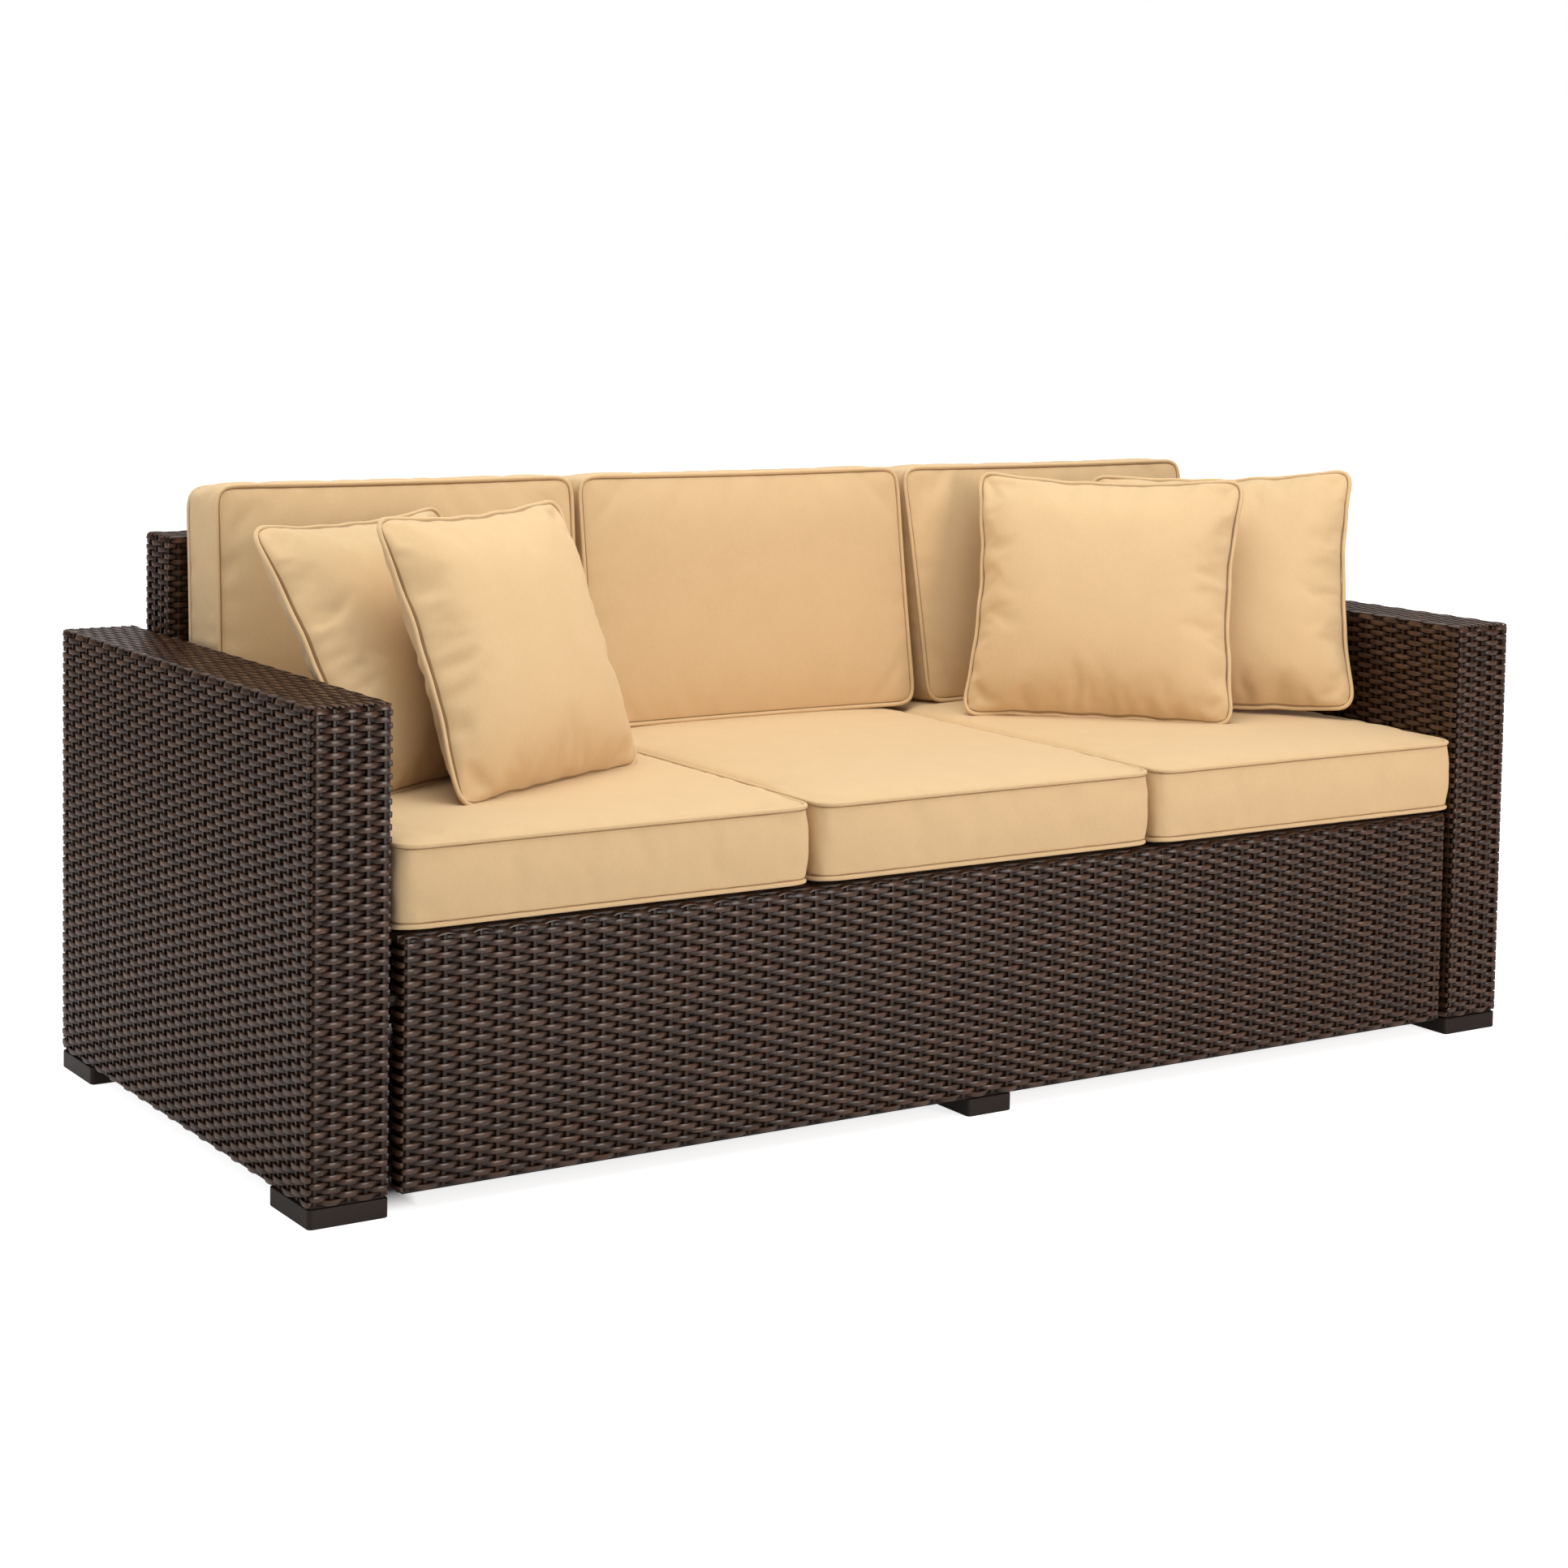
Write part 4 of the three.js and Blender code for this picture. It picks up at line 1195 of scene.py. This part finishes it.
# %% [markdown]
# ## Sewing all ten
# The covers are made flat on the origin, filled together, moved to their places, and trimmed with
# piping. A last subdivision rounds the facets.

# %% Make, fill and place the cushions
foam_fill, fibre_fill = 0.8, 0.6
# For each kind: how it is placed, its construction node and slot, how full it is and its seams
cover_kinds = {
    "seat": (place_seat_cushion, "seat_cushion", "cushion_fabric", foam_fill, (1, 2)),
    "back": (place_back_cushion, "back_cushion", "cushion_fabric", foam_fill, (1, 2)),
    "pillow": (place_pillow, "throw_pillow", "pillow_fabric", fibre_fill, (1,)),
}
# For each kind: the pressure inside, how far it pushes the cover at most, and the share of spare cloth
fillings = {"seat": (2.5, 0.006, 0.012), "back": (2.5, 0.005, 0.012), "pillow": (3.0, 0.014, 0.03)}
held_share = 0.8


def start_cover(kind, name, blank):
    title = f"{kind}_cover_{name}"
    cover = bpy.data.objects.new(title, into_mesh(blank, title))
    bpy.context.scene.collection.objects.link(cover)
    return cover, kind, name


def finish_cover(cover, kind, name):
    """Places a cover and its piping, and ties both to the sofa."""
    place, node_kind, slot, fill, seams = cover_kinds[kind]
    node = f"{node_kind}_{name}"
    points = place(mesh_points(cover.data), name)
    set_points(cover.data, points)
    seam = seam_values(cover.data)
    cover.data.materials.append(cover_cloth)
    cover.data.shade_smooth()
    finer = cover.modifiers.new("finer", "SUBSURF")
    finer.levels = finer.render_levels = 1
    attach(cover, "root")
    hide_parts(node)
    for value in seams:
        ring = points[np.abs(seam - value) < 0.5]
        centre = ring.mean(axis=0)
        normal = np.linalg.svd(ring - centre)[2][2]
        loop = smooth_loop(seam_loop(ring, centre, normal), 2)
        if kind == "seat":
            loop = press_down(loop, centre, piping_sink)
        title = f"{cover.name}_piping_{'upper' if value == 1 else 'lower'}"
        add_piece(title, piping_mesh(title, loop, centre), cover_cloth)


covers = []
for name in seat_names:
    low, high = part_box(f"seat_cushion_{name}")
    blank = box_cover(high.x - low.x, high.y - low.y, seat_corner, seat_low_seam, seat_high_seam, seat_crown,
                      seat_side_lift, held_share)
    covers.append(start_cover("seat", name, blank))
for number, name in enumerate(seat_names):
    top_left, top_right, _, _ = back_cushion_shares[name]
    width = seat_edges[number + 1] - seat_edges[number] + (top_right - top_left) * arm_inner_x
    blank = box_cover(width, back_cover_height, back_corner, back_low_seam, back_high_seam, back_crown,
                      0, held_share)
    covers.append(start_cover("back", name, blank))
for seed, name in enumerate(pillow_place_shares):
    covers.append(start_cover("pillow", name, pillow_cover(held_share, seed)))

fill_covers([(cover, *fillings[kind]) for cover, kind, _ in covers])
for cover, kind, name in covers:
    finish_cover(cover, kind, name)
print("soft pieces:", len(covers))

# %% [markdown]
# ## The rest of the frame
# The tubes, the bolts and the woven deck under the cushions keep their construction meshes. They only
# need their finishes. The deck hardly shows, so its weave is a pattern in its material: a bump, and
# painted shade that darkens it where the weave dips.

# %% Deck material and frame finishes
deck_resin, deck_tree, deck_in = new_material("deck_weave", roughness=0.5)
deck_split = split(deck_tree, object_place(deck_tree))
deck_stake_pitch = 0.0235
deck_strand, deck_stake = (
    calculate(deck_tree, "SINE", calculate(deck_tree, "MULTIPLY", deck_split[axis], math.pi / pitch))
    for axis, pitch in (("Y", strand_pitch), ("X", deck_stake_pitch)))
deck_wave = calculate(deck_tree, "MULTIPLY", deck_strand, deck_stake)
# Painted shade: darker where the weave dips
deck_dip_shade = blend_colours(deck_tree, spread(deck_tree, deck_wave, -0.9, 0.9), dark_resin, brown_resin)
deck_tree.links.new(deck_dip_shade, deck_in["Base Color"])
deck_tree.links.new(add_bump(deck_tree, deck_wave, 0.8, 0.002), deck_in["Normal"])

for node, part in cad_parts.items():
    if part.hide_render:
        continue
    finish = deck_resin if node == "seat_deck_weave" else zinc if node.startswith("bolt") else coated_steel
    part.data.materials.clear()
    part.data.materials.append(finish)
print("frame nodes kept:", sum(not part.hide_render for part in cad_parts.values()))

# %% [markdown]
# ## Studio
# The photograph has a white sweep behind the sofa and soft light: a warm lamp before it and to its
# right, a big one overhead and a small one on the left. The camera sees the surroundings as white
# through the light path, so the lamps can stay at a plain level. What the resin mirrors matters as
# much as what lights it. Behind the sofa it mirrors the sweep, and on the left and in front the
# studio is dark, which keeps the strands deep brown. A white panel near the camera is only mirrored
# and doesn't light anything: it gives the crests at the near corner their pale sheen.

# %% Floor, world and lamps
floor_half_size = 30
floor_grid = bmesh.new()
bmesh.ops.create_grid(floor_grid, x_segments=1, y_segments=1, size=floor_half_size)
floor_mesh = into_mesh(floor_grid, "floor")
floor = bpy.data.objects.new("floor", floor_mesh)
bpy.context.scene.collection.objects.link(floor)
floor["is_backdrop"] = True

floor_paint, floor_tree, floor_in = new_material("floor_paint", roughness=0.9)
floor_in["Base Color"].default_value = (0.8, 0.8, 0.8, 1)
floor_in["Specular IOR Level"].default_value = 0.0
floor_glow = 0.80
fill_level = 0.55
dark_side_level = 0.05
front_level = 0.06
sweep_edge = (0.98, 0.12)
# How soft the sweep's edge is, and where it ends and the front begins, on the floor and in the sky
floor_sweep_reach = (0.25, -0.5, -0.9)
sky_sweep_reach = (0.2, -0.1, -0.4)
# Where the floor starts to glow: past the arms, in front of the sofa and behind it
side_edge, front_edge, rear_edge = (0.86, 0.90), (-0.26, -0.33), (0.40, 0.45)
arm_edge, arm_edge_shift = (-0.78, -0.80), 0.05


def white_sweep(tree, x, y, soft, front_low, front_high):
    """1 on the white sweep behind the sofa, little to the left of it and before it."""
    beside = calculate(tree, "ADD", calculate(tree, "MULTIPLY", x, sweep_edge[0]),
                       calculate(tree, "MULTIPLY", y, sweep_edge[1]))
    behind = calculate(tree, "MULTIPLY", spread(tree, beside, -soft, soft, dark_side_level, 1),
                       spread(tree, y, front_low, 0))
    before = calculate(tree, "MULTIPLY", spread(tree, y, front_low, front_high), front_level)
    return calculate(tree, "MAXIMUM", behind, before)


def seen_white(tree, rays, sweep):
    """1 for the camera and through glass; in a mirror it is as white as the sweep is there."""
    mirrored = calculate(tree, "MULTIPLY", rays["Is Glossy Ray"], sweep)
    seen = calculate(tree, "MAXIMUM", rays["Is Camera Ray"], mirrored)
    return calculate(tree, "MAXIMUM", seen, rays["Is Transmission Ray"])


floor_split = split(floor_tree, object_place(floor_tree))
from_arm = calculate(floor_tree, "ADD", floor_split["X"], arm_inner_x)
floor_sweep = white_sweep(floor_tree, from_arm, floor_split["Y"], *floor_sweep_reach)
floor_seen = seen_white(floor_tree, add_node(floor_tree, "ShaderNodeLightPath").outputs, floor_sweep)
# Under the sofa the floor doesn't glow, which keeps the shadow between the feet
across = spread(floor_tree, calculate(floor_tree, "ABSOLUTE", floor_split["X"]), *side_edge)
beside_arm = spread(floor_tree, floor_split["X"], *arm_edge, 0, arm_edge_shift)
front_part = spread(floor_tree, calculate(floor_tree, "ADD", floor_split["Y"], beside_arm), *front_edge)
rear_part = spread(floor_tree, floor_split["Y"], *rear_edge)
open_floor = calculate(floor_tree, "MAXIMUM", across, calculate(floor_tree, "MAXIMUM", front_part, rear_part))
floor_seen = calculate(floor_tree, "MULTIPLY", floor_seen, open_floor)
floor_in["Emission Color"].default_value = (1, 1, 1, 1)
floor_tree.links.new(calculate(floor_tree, "MULTIPLY", floor_seen, floor_glow), floor_in["Emission Strength"])
floor_mesh.materials.append(floor_paint)

world = bpy.data.worlds.new("studio")
world.use_nodes = True
sky = world.node_tree
sky.nodes.clear()
sky_rays = add_node(sky, "ShaderNodeLightPath").outputs
sky_split = split(sky, add_node(sky, "ShaderNodeTexCoord").outputs["Generated"])
sky_sweep = white_sweep(sky, sky_split["X"], sky_split["Y"], *sky_sweep_reach)
sky_seen = seen_white(sky, sky_rays, sky_sweep)
sky_level = calculate(sky, "SUBTRACT", 1.0, sky_rays["Is Glossy Ray"])
sky_strength = calculate(sky, "MAXIMUM", sky_seen, calculate(sky, "MULTIPLY", sky_level, fill_level))
sky_light = add_node(sky, "ShaderNodeBackground", {"Color": (1, 1, 1, 1), "Strength": sky_strength})
add_node(sky, "ShaderNodeOutputWorld", {"Surface": sky_light.outputs[0]})
bpy.context.scene.world = world


def add_lamp(name, place, target, size, power, colour=(1, 1, 1), lights=True, mirrored=True):
    """A square lamp that looks at its target. It can light, be mirrored in glossy things, or both."""
    lamp = bpy.data.objects.new(name, bpy.data.lights.new(name, "AREA"))
    lamp.data.shape = "SQUARE"
    lamp.data.size = size
    lamp.data.energy = power
    lamp.data.color = colour
    lamp.visible_diffuse = lights
    lamp.visible_glossy = mirrored
    lamp.location = place
    lamp.rotation_euler = (Vector(target) - Vector(place)).to_track_quat("-Z", "Y").to_euler()
    bpy.context.scene.collection.objects.link(lamp)


add_lamp("front_lamp", (1.5, -3.5, 1.1), (0, 0, 0.4), 1.1, 46, (1.0, 0.87, 0.79), mirrored=False)
add_lamp("left_lamp", (-3.3, 0.2, 1.1), (0, 0, 0.3), 0.7, 17)
add_lamp("top_lamp", (-0.3, -0.4, 3.2), (0, 0, 0.4), 2.6, 80, (0.97, 1.0, 1.0), mirrored=False)
add_lamp("white_panel", (0.1, -3.7, 0.8), (-0.7, 0, 0.4), 1.8, 72, lights=False)

bpy.context.scene.view_settings.view_transform = "Standard"
print("fill light", fill_level)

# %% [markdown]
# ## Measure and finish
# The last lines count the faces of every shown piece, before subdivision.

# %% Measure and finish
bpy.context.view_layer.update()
faces = sum(len(piece.data.polygons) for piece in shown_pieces() if piece.type == "MESH")
print("faces before subdivision:", faces)
